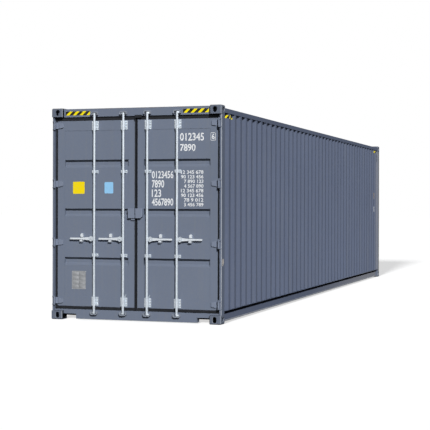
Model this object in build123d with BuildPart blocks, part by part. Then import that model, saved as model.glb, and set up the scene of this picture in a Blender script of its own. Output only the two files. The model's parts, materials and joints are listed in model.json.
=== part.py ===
from build123d import *
import os

# Forty foot high cube dry freight container, drawn closed and locked.
# X runs along the container with the doors at minus X, Y across it, Z up.
# The origin is at the middle of the footprint, on the ground. Millimetres.

overall_length = 12192
overall_width = 2438
overall_height = 2896
half_length = overall_length / 2
half_width = overall_width / 2
door_end = -half_length
closed_end = half_length

# Corner castings with their twist lock slots and lashing apertures
casting_length = 178
casting_width = 162
casting_height = 118
casting_plate = 28.5
casting_wall = 16
casting_edge = 12
casting_rim = 10
aperture_rim = 6
slot_length = 124
slot_width = 63.5
slot_inset_x = 103.5
slot_inset_y = 89.5
slot_pitch_x = overall_length - 2 * slot_inset_x
slot_pitch_y = overall_width - 2 * slot_inset_y
aperture_height = 79.5
bottom_aperture_width = 51
shield_radius = 31
shield_point_radius = 24
top_base = overall_height - casting_height
casting_inner_y = half_width - casting_width
casting_inner_x = half_length - casting_length

# Steel sheet and sections
sheet = 2
frame_sheet = 4
post_sheet = 6
side_inset = 2
frame_outer_y = half_width - side_inset

# Rear frame. Depths are counted inward from the door end of the castings
post_face = 28
frame_face = 52
door_face = 66
door_depth = 50
leaf_back_clear = 6
stop_face = door_face + door_depth + leaf_back_clear
post_back = 160
post_lip_y = frame_outer_y - 28
post_inner_y = frame_outer_y - 47
post_corner = 9
header_top = overall_height - 9
header_bottom = header_top - 112
sill_bottom = 12.5
sill_top = sill_bottom + 128.5
sill_stop_top = sill_top + 35
notch_top = 80
notch_width = 187
notch_inner_y = casting_inner_y - notch_width

# Door leaves
leaf_gap = 22
leaf_outer_y = frame_outer_y - 65
leaf_bottom = sill_top + 43
leaf_top = header_bottom - 52
leaf_width = leaf_outer_y - leaf_gap
stile_outer = 104
stile_inner = 88
leaf_rail = 134
gasket_depth = 20
gasket_start = 72
gasket_clear = 6
gasket_reach_side = 31
gasket_reach_top = header_bottom - leaf_top - gasket_clear
gasket_reach_bottom = leaf_bottom - sill_top - gasket_clear
gasket_reach_middle = 16.5
panel_set_back = 4
groove_depth = 32
groove_upper_slope = 28
groove_floor = 42
groove_lower_slope = 34
groove_raise = 16.5
groove_share = 0.2937

# Hinges
hinge_count = 4
hinge_pin_depth = 14
hinge_pin_y = half_width - 39
hinge_pin_radius = 7
hinge_bore_radius = 7.3
barrel_radius = 12
blade_height = 86
blade_taper = 13
blade_corner = 8
blade_end_y = hinge_pin_y - 114
blade_thickness = 10
strap_thickness = 17
strap_step_y = hinge_pin_y - 44
lug_height = 16
lug_gap = 1
hinge_low = leaf_bottom + 73
hinge_high = leaf_top - 60

# Locking bars, cams and keepers
bar_radius = 17
bar_depth = 28
bar_inner_y = leaf_gap + 150
bar_pitch = round(0.3743 * leaf_width)
bar_outer_y = bar_inner_y + bar_pitch
cam_height = 22
cam_radius = 19
cam_reach = 32
cam_clear = 6
cam_top_z = header_bottom + 47
cam_bottom_z = sill_top - 48
keeper_wall = 12
keeper_shoulder = 14
keeper_front = 8
guide_clear = 0.5
guide_half = 24
guide_front = 20
guide_base = 6
wide_guide_foot = 98
guide_foot = 92
guide_height = 40
guide_inset = 702
guide_heights = (leaf_bottom + guide_inset + 4, leaf_top - guide_inset + 4)
bracket_inset = 10
top_bracket = (leaf_top - 119 - bracket_inset, leaf_top - bracket_inset)
bottom_bracket = (leaf_bottom + 6 + bracket_inset, leaf_bottom + 124 + bracket_inset)

# Handles and the catches that hold them
handle_rise = 928
handle_z = leaf_bottom + handle_rise
handle_thickness = 10
handle_depth = 24
handle_start = 24
handle_end = bar_pitch - 65
handle_root = 46
handle_grip = 24
handle_root_end = 62
handle_grip_start = round(0.414 * bar_pitch)
handle_corner = 7
pivot_offset = 45
pivot_radius = 6
pivot_clear = 0.3
ear_thickness = 6
ear_gap = 1
ear_radius = 38
ear_height = 40
catch_offset = round(0.444 * bar_pitch)
catch_width = 40
catch_above = 70
catch_below = 56
catch_corner = 12
catch_lip_clear = 6
catch_lip = 6
catch_floor = 10
catch_arm = 18

# Lock box over the middle joint, one half on each leaf
lock_rise = 1211
lock_height = 133
lock_low = leaf_bottom + lock_rise
lock_high = lock_low + lock_height
lock_reach = 102
lock_gap = 6
lock_front = 20
lock_wall = 4
lock_bevel = 22
staple_drop = 28
staple_width = 48
staple_front = 40

# Side walls, front wall and roof
corrugation_outer = 72
corrugation_slope = 68
corrugation_inner = 70
corrugation_depth = 36
corrugation_pitch = corrugation_outer + 2 * corrugation_slope + corrugation_inner
corrugation_start = 4
wall_outer_y = half_width - 6
front_corrugation_flat = 110
front_corrugation_slope = 15
front_corrugation_depth = 45
top_rail = 60
top_rail_top = overall_height - 35
top_rail_sheet = 3
bottom_rail_bottom = 26
bottom_rail_top = 170
bottom_rail_flange = 48
bottom_rail_lip = 30
bottom_rail_sheet = 4.5
rail_web_y = frame_outer_y - bottom_rail_flange
rail_inner_y = rail_web_y - bottom_rail_sheet
front_post_depth = 130
front_post_inner_y = frame_outer_y - 52
front_wall_face = 8
front_face = closed_end - side_inset
roof_half = half_width - 29
trough_pitch = 209
trough_width = 110
trough_depth = 20
trough_slope = 45
trough_end = roof_half - 100
corner_plate_length = 200
corner_plate_width = 190
corner_plate_sheet = 3

# Base and floor
cross_member_height = 122
cross_member_flange = 45
cross_member_pitch = 440
cross_member_first = 260
member_top = bottom_rail_bottom + cross_member_height
floor_seat = 0.3
plate_seat = 0.3
floor_bottom = member_top + floor_seat
floor_top = sill_stop_top
floor_half = rail_inner_y - 2.5
board_count = 5
board_joint = 2
tunnel_length = 3315
tunnel_width = 1029
tunnel_start = closed_end - tunnel_length
tunnel_half = tunnel_width / 2

# Ventilators and lashing rings
vent_width = 66
vent_height = 190
vent_reach = 28
vent_drop = 60
ring_width = 52
ring_height = 44
ring_thickness = 10
ring_bar = 11
ring_pitch = 1390

os.makedirs("parts", exist_ok=True)


def save(piece, name):
    """Name one piece and write it as a STEP file."""
    piece.part.label = name
    export_step(piece.part, "parts/" + name + ".step")


def depth(value):
    """X of a plane that lies this far behind the door end castings."""
    return door_end + value


# Corner castings: one corner is built and mirrored to the other three
casting_x = door_end + casting_length / 2
casting_y = -half_width + casting_width / 2
slot_x = -slot_pitch_x / 2
slot_y = -slot_pitch_y / 2


def casting(base, slot_at_top):
    """One hollow casting at the door end, minus Y corner, standing on base."""
    with BuildSketch(Plane.XY.offset(base)) as block:
        with Locations((casting_x, casting_y)):
            Rectangle(casting_length, casting_width)
        chamfer(block.vertices(), casting_edge)
    solid = extrude(block.sketch, amount=casting_height)
    free_edges = solid.edges().group_by(Axis.Z)[-1 if slot_at_top else 0]
    outer_edges = [edge for edge in free_edges if edge.center().Y < casting_y or edge.center().X < casting_x]
    chamfer(outer_edges, casting_rim)
    low_wall = casting_wall if slot_at_top else casting_plate
    with BuildSketch(Plane.XY.offset(base + low_wall)) as hollow:
        with Locations((casting_x, casting_y)):
            Rectangle(casting_length - 2 * casting_wall, casting_width - 2 * casting_wall)
    extrude(hollow.sketch, amount=casting_height - casting_plate - casting_wall, mode=Mode.SUBTRACT)
    slot_base = base + casting_height - casting_plate if slot_at_top else base
    with BuildSketch(Plane.XY.offset(slot_base)) as slot:
        with Locations((slot_x, slot_y)):
            SlotOverall(slot_length, slot_width)
    extrude(slot.sketch, amount=casting_plate, mode=Mode.SUBTRACT)
    middle = base + casting_height / 2
    with BuildSketch(Plane.XZ.offset(half_width)) as side_aperture:
        with Locations((slot_x, middle)):
            SlotOverall(aperture_height, bottom_aperture_width)
    extrude(side_aperture.sketch, amount=-casting_wall, mode=Mode.SUBTRACT)
    rim = offset(side_aperture.sketch, amount=aperture_rim)
    extrude(rim, amount=-aperture_rim, taper=45, mode=Mode.SUBTRACT)
    with BuildSketch(Plane.YZ.offset(door_end)) as end_aperture:
        if slot_at_top:
            with Locations((slot_y, middle + aperture_height / 2 - shield_radius)):
                Circle(shield_radius)
            with Locations((slot_y, middle - aperture_height / 2 + shield_point_radius)):
                Circle(shield_point_radius)
            make_hull()
        else:
            with Locations((slot_y, middle)):
                SlotOverall(aperture_height, bottom_aperture_width, rotation=90)
    extrude(end_aperture.sketch, amount=casting_wall, mode=Mode.SUBTRACT)
    rim = offset(end_aperture.sketch, amount=aperture_rim)
    extrude(rim, amount=aperture_rim, taper=45, mode=Mode.SUBTRACT)


with BuildPart() as bottom_corner_castings:
    casting(0, False)
    mirror(about=Plane.XZ)
    mirror(about=Plane.YZ)
save(bottom_corner_castings, "bottom_corner_castings")

with BuildPart() as top_corner_castings:
    casting(top_base, True)
    mirror(about=Plane.XZ)
    mirror(about=Plane.YZ)
save(top_corner_castings, "top_corner_castings")

# Rear corner posts: a pressed section with the recess that the leaf closes into
with BuildPart() as rear_corner_post_left:
    with BuildSketch(Plane.XY.offset(casting_height)):
        with BuildLine():
            Polyline(
                (depth(post_face), frame_outer_y),
                (depth(post_back), frame_outer_y),
                (depth(post_back), post_inner_y),
                (depth(stop_face), post_inner_y),
                (depth(stop_face), post_lip_y),
                (depth(post_face), post_lip_y),
                close=True,
            )
        make_face()
        offset(amount=-post_sheet, kind=Kind.INTERSECTION, mode=Mode.SUBTRACT)
    extrude(amount=overall_height - 2 * casting_height)
    outer_edges = rear_corner_post_left.edges().filter_by(Axis.Z).group_by(Axis.X)[0].sort_by(Axis.Y)
    fillet(outer_edges[-1], post_corner)
save(rear_corner_post_left, "rear_corner_post_left")

with BuildPart() as rear_corner_post_right:
    mirror(rear_corner_post_left.part, about=Plane.XZ)
save(rear_corner_post_right, "rear_corner_post_right")

# Door header: a closed section between the top castings
header_middle = (header_top + header_bottom) / 2
with BuildPart() as door_header:
    with BuildSketch(Plane.XZ.offset(-casting_inner_y)):
        with Locations((depth((frame_face + post_back) / 2), header_middle)):
            Rectangle(post_back - frame_face, header_top - header_bottom)
        offset(amount=-frame_sheet, kind=Kind.INTERSECTION, mode=Mode.SUBTRACT)
    extrude(amount=2 * casting_inner_y)
save(door_header, "door_header")

# Door sill with the stop behind the leaves and a recess beside each casting.
# Above each casting a short block carries the sill on to the post
sill_end_y = casting_inner_y + plate_seat
with BuildPart() as door_sill:
    with BuildSketch(Plane.XZ.offset(-casting_inner_y)) as sill_profile:
        with BuildLine():
            Polyline(
                (depth(frame_face), sill_bottom),
                (depth(frame_face), sill_top),
                (depth(stop_face), sill_top),
                (depth(stop_face), sill_stop_top),
                (depth(post_back), sill_stop_top),
                (depth(post_back), sill_bottom),
                close=True,
            )
        make_face()
    extrude(amount=2 * casting_inner_y)
    with BuildSketch(Plane.XZ.offset(-notch_inner_y + frame_sheet)):
        add(sill_profile.sketch)
        offset(amount=-frame_sheet, kind=Kind.INTERSECTION, mode=Mode.REPLACE)
    extrude(amount=2 * (notch_inner_y - frame_sheet), mode=Mode.SUBTRACT)
    with BuildSketch(Plane.YZ.offset(depth(frame_face))):
        for side in (-1, 1):
            with Locations((side * (casting_inner_y - notch_width / 2), notch_top / 2)):
                Rectangle(notch_width, notch_top)
    extrude(amount=post_back - frame_face, mode=Mode.SUBTRACT)
    for side in (-1, 1):
        with BuildSketch(Plane.XY.offset(casting_height)):
            with Locations((depth((frame_face + stop_face) / 2), side * (sill_end_y + post_lip_y) / 2)):
                Rectangle(stop_face - frame_face, post_lip_y - sill_end_y)
        extrude(amount=sill_top - casting_height)
        with BuildSketch(Plane.XY.offset(casting_height)):
            with Locations((depth((stop_face + post_back) / 2), side * (sill_end_y + post_inner_y) / 2)):
                Rectangle(post_back - stop_face, post_inner_y - sill_end_y)
        extrude(amount=sill_stop_top - casting_height)
save(door_sill, "door_sill")

# Cam keepers: a horseshoe on the header and on the sill around each bar end
keeper_gap = cam_reach + cam_clear
keeper_half = keeper_gap + keeper_wall
bar_rows = (-bar_outer_y, -bar_inner_y, bar_inner_y, bar_outer_y)


def keeper(row, level, toward):
    """Horseshoe around a cam; its mouth is turned away from toward."""
    crown = level + toward * (cam_height + keeper_wall + cam_clear)
    mouth = level - toward * cam_clear
    with BuildSketch(Plane.YZ.offset(depth(keeper_front))) as horseshoe:
        with BuildLine():
            Polyline(
                (row - keeper_half, mouth),
                (row - keeper_half, crown - toward * keeper_shoulder),
                (row - keeper_half + keeper_shoulder, crown),
                (row + keeper_half - keeper_shoulder, crown),
                (row + keeper_half, crown - toward * keeper_shoulder),
                (row + keeper_half, mouth),
                (row + keeper_gap, mouth),
                (row + keeper_gap, crown - toward * keeper_wall),
                (row - keeper_gap, crown - toward * keeper_wall),
                (row - keeper_gap, mouth),
                close=True,
            )
        make_face()
    extrude(horseshoe.sketch, amount=frame_face - keeper_front)


with BuildPart() as cam_keepers:
    for row in bar_rows:
        keeper(row, cam_top_z - cam_height, 1)
        keeper(row, cam_bottom_z + cam_height, -1)
save(cam_keepers, "cam_keepers")

# Hinge lugs with their pins, welded to the faces of the rear posts
lug_inner = blade_height / 2 + lug_gap
hinge_pitch = (hinge_high - hinge_low) / (hinge_count - 1)
hinge_heights = [hinge_low + index * hinge_pitch for index in range(hinge_count)]
lug_corner = barrel_radius / 2
lug_edge = frame_outer_y - 3
with BuildPart() as hinge_lugs:
    for level in hinge_heights:
        for base in (level - lug_inner - lug_height, level + lug_inner):
            with BuildSketch(Plane.XY.offset(base)):
                with BuildLine():
                    Polyline(
                        (depth(hinge_pin_depth - barrel_radius), hinge_pin_y - lug_corner),
                        (depth(hinge_pin_depth - lug_corner), hinge_pin_y - barrel_radius),
                        (depth(hinge_pin_depth + lug_corner), hinge_pin_y - barrel_radius),
                        (depth(hinge_pin_depth + barrel_radius), hinge_pin_y - lug_corner),
                        (depth(post_face), post_lip_y),
                        (depth(post_face), lug_edge),
                        (depth(post_face - lug_corner), lug_edge),
                        (depth(hinge_pin_depth - barrel_radius), hinge_pin_y + barrel_radius),
                        close=True,
                    )
                make_face()
            extrude(amount=lug_height)
        with Locations((depth(hinge_pin_depth), hinge_pin_y, level)):
            Cylinder(hinge_pin_radius, 2 * lug_inner + lug_height)
    mirror(about=Plane.XZ)
save(hinge_lugs, "hinge_lugs")

# Top side rails: square tube between the top castings
rail_middle_y = frame_outer_y - 1 - top_rail / 2
with BuildPart() as top_side_rails:
    with BuildSketch(Plane.YZ.offset(-casting_inner_x)):
        for side in (-1, 1):
            with Locations((side * rail_middle_y, top_rail_top - top_rail / 2)):
                Rectangle(top_rail, top_rail)
                Rectangle(top_rail - 2 * top_rail_sheet, top_rail - 2 * top_rail_sheet, mode=Mode.SUBTRACT)
    extrude(amount=2 * casting_inner_x)
save(top_side_rails, "top_side_rails")

# Bottom side rails: channels that open outward, cut around the castings
with BuildPart() as bottom_side_rails:
    with BuildSketch(Plane.YZ.offset(depth(post_back))):
        with BuildLine():
            Polyline(
                (frame_outer_y, bottom_rail_top),
                (rail_inner_y, bottom_rail_top),
                (rail_inner_y, bottom_rail_bottom),
                (rail_web_y + bottom_rail_lip, bottom_rail_bottom),
                (rail_web_y + bottom_rail_lip, bottom_rail_bottom + bottom_rail_sheet),
                (rail_web_y, bottom_rail_bottom + bottom_rail_sheet),
                (rail_web_y, bottom_rail_top - bottom_rail_sheet),
                (frame_outer_y, bottom_rail_top - bottom_rail_sheet),
                close=True,
            )
        make_face()
    extrude(amount=overall_length - post_back - front_post_depth)
    for end in (-1, 1):
        with Locations((end * (half_length - casting_length / 2), -casting_y, casting_height / 2)):
            Box(casting_length, casting_width, casting_height, mode=Mode.SUBTRACT)
    mirror(about=Plane.XZ)
save(bottom_side_rails, "bottom_side_rails")

# Side walls: one corrugated sheet a side, standing on the bottom rail
wall_start = depth(post_back)
wall_end = closed_end - front_post_depth
wall_top = top_rail_top - top_rail
wall_inner_y = wall_outer_y - corrugation_depth


def corrugated_line(start, end, first, count, flat_out, slope, flat_in, face, drop):
    """Points of a sheet whose first recess begins at first."""
    points = []
    if first > start:
        points.append((start, face))
    else:
        points.append((start, face - drop))
    at = first
    for index in range(count):
        if at > start:
            points.append((at, face))
            points.append((at + slope, face - drop))
        points.append((at + slope + flat_in, face - drop))
        points.append((at + 2 * slope + flat_in, face))
        at += 2 * slope + flat_in + flat_out
    points.append((end, face))
    return points


first_recess = wall_start + corrugation_start
recess_length = 2 * corrugation_slope + corrugation_inner
corrugation_count = int((wall_end - first_recess + corrugation_outer - recess_length) // corrugation_pitch) + 1
wall_line = corrugated_line(
    wall_start,
    wall_end,
    first_recess,
    corrugation_count,
    corrugation_outer,
    corrugation_slope,
    corrugation_inner,
    wall_outer_y,
    corrugation_depth,
)
inner_line = [(x, y - sheet) for x, y in reversed(wall_line)]
with BuildPart() as side_wall_left:
    with BuildSketch(Plane.XY.offset(bottom_rail_top)):
        with BuildLine():
            Polyline(*wall_line, *inner_line, close=True)
        make_face()
    extrude(amount=wall_top - bottom_rail_top)
    for end in (-1, 1):
        with Locations((end * (half_length - casting_length / 2), -casting_y, top_base + casting_height / 2)):
            Box(casting_length, casting_width, casting_height, mode=Mode.SUBTRACT)
save(side_wall_left, "side_wall_left")

with BuildPart() as side_wall_right:
    mirror(side_wall_left.part, about=Plane.XZ)
save(side_wall_right, "side_wall_right")

# Ventilators: a small cover in a recess near the top, at one end of each wall
recess_middles = [
    first_recess + index * corrugation_pitch + recess_length / 2 for index in range(corrugation_count)
]
vent_top = wall_top - vent_drop
with BuildPart() as ventilators:
    for middle, side in ((recess_middles[2], 1), (recess_middles[-1], -1)):
        with BuildSketch(Plane.YZ.offset(middle - vent_width / 2)):
            with BuildLine():
                Polyline(
                    (side * wall_inner_y, vent_top),
                    (side * wall_inner_y, vent_top - vent_height),
                    (side * (wall_inner_y + vent_reach), vent_top - vent_height),
                    (side * (wall_inner_y + vent_reach), vent_top - vent_reach),
                    close=True,
                )
            make_face()
        extrude(amount=vent_width)
save(ventilators, "ventilators")

# Lashing rings: flat eyes on the bottom rails, behind the bulges of the walls
bulge_offset = recess_length / 2 + corrugation_outer / 2
ring_step = max(1, round(ring_pitch / corrugation_pitch))
ring_places = [middle + bulge_offset for middle in recess_middles[2:-1:ring_step]]
ring_middle_y = wall_inner_y + corrugation_depth / 2 - sheet - ring_thickness / 2
with BuildPart() as lashing_rings:
    with BuildSketch(Plane.XZ.offset(-ring_middle_y - ring_thickness / 2)):
        for place in ring_places:
            with Locations((place, bottom_rail_top + ring_height / 2)):
                Rectangle(ring_width, ring_height)
                Rectangle(ring_width - 2 * ring_bar, ring_height - 2 * ring_bar, mode=Mode.SUBTRACT)
    extrude(amount=ring_thickness)
    mirror(about=Plane.XZ)
save(lashing_rings, "lashing_rings")

# Closed end: posts, header, and a sill on two legs beside the tunnel
front_post_width = frame_outer_y - front_post_inner_y
with BuildPart() as front_corner_posts:
    with BuildSketch(Plane.XY.offset(casting_height)):
        for side in (-1, 1):
            with Locations(
                (
                    front_face - (front_post_depth - side_inset) / 2,
                    side * (frame_outer_y - front_post_width / 2),
                )
            ):
                Rectangle(front_post_depth - side_inset, front_post_width)
                Rectangle(
                    front_post_depth - side_inset - 2 * post_sheet,
                    front_post_width - 2 * post_sheet,
                    mode=Mode.SUBTRACT,
                )
    extrude(amount=overall_height - 2 * casting_height)
save(front_corner_posts, "front_corner_posts")

with BuildPart() as front_header:
    with BuildSketch(Plane.XZ.offset(-casting_inner_y)):
        with Locations((front_face - top_rail / 2, header_middle)):
            Rectangle(top_rail, header_top - header_bottom)
        offset(amount=-frame_sheet, kind=Kind.INTERSECTION, mode=Mode.SUBTRACT)
    extrude(amount=2 * casting_inner_y)
save(front_header, "front_header")

front_sill_bottom = member_top - frame_sheet
leg_top = front_sill_bottom - plate_seat
leg_inner_y = tunnel_half + frame_sheet
with BuildPart() as front_sill:
    with BuildSketch(Plane.XZ.offset(-casting_inner_y)):
        with Locations((front_face - top_rail / 2, (sill_bottom + leg_top) / 2)):
            Rectangle(top_rail, leg_top - sill_bottom)
        offset(amount=-frame_sheet, kind=Kind.INTERSECTION, mode=Mode.SUBTRACT)
    extrude(amount=casting_inner_y - leg_inner_y)
    mirror(about=Plane.XZ)
    with BuildSketch(Plane.XZ.offset(-casting_inner_y)):
        with Locations((front_face - top_rail / 2, (front_sill_bottom + sill_stop_top) / 2)):
            Rectangle(top_rail, sill_stop_top - front_sill_bottom)
        offset(amount=-frame_sheet, kind=Kind.INTERSECTION, mode=Mode.SUBTRACT)
    extrude(amount=2 * casting_inner_y)
save(front_sill, "front_sill")

# Front wall: deep vertical corrugations between the front posts
front_pitch = 2 * (front_corrugation_flat + front_corrugation_slope)
front_recess = front_corrugation_flat + 2 * front_corrugation_slope
front_count = int((2 * front_post_inner_y - front_recess) // front_pitch)
front_first = -(front_count * front_pitch - front_corrugation_flat) / 2
front_line = corrugated_line(
    -front_post_inner_y,
    front_post_inner_y,
    front_first,
    front_count,
    front_corrugation_flat,
    front_corrugation_slope,
    front_corrugation_flat,
    closed_end - front_wall_face,
    front_corrugation_depth,
)
front_back = [(y, x - sheet) for y, x in reversed(front_line)]
with BuildPart() as front_wall:
    with BuildSketch(Plane.XY.offset(sill_stop_top)):
        with BuildLine():
            Polyline(*[(x, y) for y, x in front_line + front_back], close=True)
        make_face()
    extrude(amount=header_bottom - sill_stop_top)
save(front_wall, "front_wall")

# Roof: one sheet with pressed troughs, cut around the castings
roof_start = depth(post_back)
roof_end = front_face - top_rail
roof_middle = (roof_start + roof_end) / 2
trough_count = int((roof_end - roof_start - trough_width) // trough_pitch)
with BuildPart() as roof_panel:
    with BuildSketch(Plane.XY.offset(top_rail_top)):
        with Locations((roof_middle, 0)):
            Rectangle(roof_end - roof_start, 2 * roof_half)
        for end in (-1, 1):
            for side in (-1, 1):
                with Locations((end * (half_length - casting_length / 2), side * casting_y)):
                    Rectangle(casting_length, casting_width, mode=Mode.SUBTRACT)
    extrude(amount=sheet)
    with BuildSketch(Plane.XY.offset(top_rail_top)):
        with Locations((roof_middle, 0)):
            with GridLocations(trough_pitch, 1, trough_count, 1):
                Rectangle(trough_width, 2 * trough_end)
    extrude(amount=-trough_depth, taper=trough_slope)
    with BuildSketch(Plane.XY.offset(top_rail_top + sheet)):
        with Locations((roof_middle, 0)):
            with GridLocations(trough_pitch, 1, trough_count, 1):
                Rectangle(trough_width, 2 * trough_end)
    extrude(amount=-trough_depth, taper=trough_slope, mode=Mode.SUBTRACT)
save(roof_panel, "roof_panel")

# Plates that protect the roof beside the top castings
with BuildPart() as roof_corner_plates:
    with BuildSketch(Plane.XY.offset(top_rail_top + sheet)):
        with Locations((-casting_inner_x + corner_plate_length / 2, -roof_half + corner_plate_width / 2)):
            Rectangle(corner_plate_length, corner_plate_width)
    extrude(amount=corner_plate_sheet)
    mirror(about=Plane.XZ)
    mirror(about=Plane.YZ)
save(roof_corner_plates, "roof_corner_plates")


# Cross members: channels from rail to rail, with short ones beside the tunnel
def channel(at, low_y, high_y):
    """One channel section across the base, open toward the closed end."""
    with BuildSketch(Plane.XZ.offset(-high_y)) as section:
        with BuildLine():
            Polyline(
                (at, bottom_rail_bottom),
                (at + cross_member_flange, bottom_rail_bottom),
                (at + cross_member_flange, bottom_rail_bottom + frame_sheet),
                (at + frame_sheet, bottom_rail_bottom + frame_sheet),
                (at + frame_sheet, member_top - frame_sheet),
                (at + cross_member_flange, member_top - frame_sheet),
                (at + cross_member_flange, member_top),
                (at, member_top),
                close=True,
            )
        make_face()
    extrude(section.sketch, amount=high_y - low_y)


member_start = depth(post_back) + cross_member_first
member_span = front_face - top_rail - cross_member_flange - member_start
member_count = int(member_span // cross_member_pitch) + 1
with BuildPart() as cross_members:
    for index in range(member_count):
        at = member_start + index * cross_member_pitch
        if at + cross_member_flange < tunnel_start - frame_sheet - plate_seat:
            channel(at, -rail_inner_y, rail_inner_y)
        elif at > tunnel_start:
            channel(at, leg_inner_y, rail_inner_y)
            channel(at, -rail_inner_y, -leg_inner_y)
save(cross_members, "cross_members")

# Gooseneck tunnel: four steel plates that make a hat under the floor
tunnel_run = front_face - top_rail - tunnel_start
tunnel_side = member_top - frame_sheet - plate_seat - bottom_rail_bottom
with BuildPart() as gooseneck_tunnel:
    with BuildSketch(Plane.YZ.offset(tunnel_start)):
        with Locations((0, member_top - frame_sheet / 2)):
            Rectangle(tunnel_width + 2 * frame_sheet, frame_sheet)
        for side in (-1, 1):
            with Locations((side * (tunnel_half + frame_sheet / 2), bottom_rail_bottom + tunnel_side / 2)):
                Rectangle(frame_sheet, tunnel_side)
    extrude(amount=tunnel_run)
    with BuildSketch(Plane.YZ.offset(tunnel_start - frame_sheet - plate_seat)):
        with Locations((0, (member_top + bottom_rail_bottom) / 2)):
            Rectangle(tunnel_width + 2 * frame_sheet, cross_member_height)
    extrude(amount=frame_sheet)
save(gooseneck_tunnel, "gooseneck_tunnel")

# Plywood floor: two rows of boards with narrow joints
floor_start = depth(post_back)
floor_end = front_face - top_rail
board_length = (floor_end - floor_start) / board_count
with BuildPart() as floor_boards:
    with BuildSketch(Plane.XY.offset(floor_bottom)):
        with Locations(((floor_start + floor_end) / 2, 0)):
            with GridLocations(board_length, floor_half, board_count, 2):
                Rectangle(board_length - board_joint, floor_half - board_joint)
    extrude(amount=floor_top - floor_bottom)
save(floor_boards, "floor_boards")

# Left door: frame, pressed panel and rubber gasket
leaf_middle_y = (leaf_gap + leaf_outer_y) / 2
leaf_middle_z = (leaf_bottom + leaf_top) / 2
panel_low = leaf_gap + stile_inner
panel_high = leaf_outer_y - stile_outer
panel_bottom = leaf_bottom + leaf_rail
panel_top = leaf_top - leaf_rail
panel_middle_z = (panel_bottom + panel_top) / 2
with BuildPart() as left_door_frame:
    with BuildSketch(Plane.YZ.offset(depth(door_face))):
        with Locations((leaf_middle_y, leaf_middle_z)):
            Rectangle(leaf_outer_y - leaf_gap, leaf_top - leaf_bottom)
        with Locations(((panel_low + panel_high) / 2, panel_middle_z)):
            Rectangle(panel_high - panel_low, panel_top - panel_bottom, mode=Mode.SUBTRACT)
    extrude(amount=door_depth)
save(left_door_frame, "left_door_frame")

groove_height = groove_upper_slope + groove_floor + groove_lower_slope
groove_pitch = groove_share * (panel_top - panel_bottom)
panel_depth = door_face + panel_set_back
panel_face = [(panel_depth, panel_bottom)]
for index in (-1, 0, 1):
    low = panel_middle_z + groove_raise + index * groove_pitch - groove_height / 2
    panel_face.append((panel_depth, low))
    panel_face.append((panel_depth + groove_depth, low + groove_lower_slope))
    panel_face.append((panel_depth + groove_depth, low + groove_lower_slope + groove_floor))
    panel_face.append((panel_depth, low + groove_height))
panel_face.append((panel_depth, panel_top))
panel_back = [(u + sheet, z) for u, z in reversed(panel_face)]
with BuildPart() as left_door_panel:
    with BuildSketch(Plane.XZ.offset(-panel_high)):
        with BuildLine():
            Polyline(*[(depth(u), z) for u, z in panel_face + panel_back], close=True)
        make_face()
    extrude(amount=panel_high - panel_low)
save(left_door_panel, "left_door_panel")

seal_low = leaf_gap - gasket_reach_middle
seal_high = leaf_outer_y + gasket_reach_side
seal_bottom = leaf_bottom - gasket_reach_bottom
seal_top = leaf_top + gasket_reach_top
with BuildPart() as left_door_gasket:
    with BuildSketch(Plane.YZ.offset(depth(gasket_start))):
        with Locations(((seal_low + seal_high) / 2, (seal_bottom + seal_top) / 2)):
            Rectangle(seal_high - seal_low, seal_top - seal_bottom)
        with Locations((leaf_middle_y, leaf_middle_z)):
            Rectangle(leaf_outer_y - leaf_gap, leaf_top - leaf_bottom, mode=Mode.SUBTRACT)
    extrude(amount=gasket_depth)
save(left_door_gasket, "left_door_gasket")

# Hinge blades: barrel, cranked arm and a tapered strap on the leaf
blade_half = blade_height / 2
strap_start = leaf_outer_y - 6
with BuildPart() as left_door_hinges:
    for level in hinge_heights:
        with BuildSketch(Plane.XY.offset(level - blade_half)):
            with Locations((depth(hinge_pin_depth), hinge_pin_y)):
                Circle(barrel_radius)
            with BuildLine():
                Polyline(
                    (depth(hinge_pin_depth), hinge_pin_y + 4),
                    (depth(door_face - 2), hinge_pin_y + 4),
                    (depth(door_face), hinge_pin_y + 2),
                    (depth(door_face), blade_end_y),
                    (depth(door_face - strap_thickness + 5), blade_end_y),
                    (depth(door_face - strap_thickness), blade_end_y + 5),
                    (depth(door_face - strap_thickness), strap_step_y - 6),
                    (depth(door_face - blade_thickness), strap_step_y),
                    (depth(door_face - blade_thickness), hinge_pin_y - 18),
                    (depth(door_face - blade_thickness - 8), hinge_pin_y - 10),
                    (depth(hinge_pin_depth), hinge_pin_y - 10),
                    close=True,
                )
            make_face()
            with Locations((depth(hinge_pin_depth), hinge_pin_y)):
                Circle(hinge_bore_radius, mode=Mode.SUBTRACT)
        extrude(amount=blade_height)
    with BuildSketch(Plane.YZ.offset(door_end)):
        for level in hinge_heights:
            with BuildLine():
                Polyline(
                    (hinge_pin_y + barrel_radius + 1, level - blade_half),
                    (hinge_pin_y + barrel_radius + 1, level + blade_half),
                    (strap_start, level + blade_half),
                    (blade_end_y + blade_corner, level + blade_half - blade_taper),
                    (blade_end_y, level + blade_half - blade_taper - blade_corner),
                    (blade_end_y, level - blade_half + blade_taper + blade_corner),
                    (blade_end_y + blade_corner, level - blade_half + blade_taper),
                    (strap_start, level - blade_half),
                    close=True,
                )
            make_face()
    extrude(amount=door_face, mode=Mode.INTERSECT)
save(left_door_hinges, "left_door_hinges")


# Guides and brackets that hold the locking bars on the leaf
def bar_guide(row, low, high, foot, seat):
    """A bearing that holds the bar, on a foot of this width that stands on seat."""
    with BuildSketch(Plane.XY.offset(low)) as section:
        with Locations((depth((guide_front + seat) / 2), row)):
            Rectangle(seat - guide_front, 2 * guide_half)
        with Locations((depth(seat - guide_base / 2), row)):
            Rectangle(guide_base, foot)
        with Locations((depth(bar_depth), row)):
            Circle(bar_radius + guide_clear, mode=Mode.SUBTRACT)
    extrude(section.sketch, amount=high - low)


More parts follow.
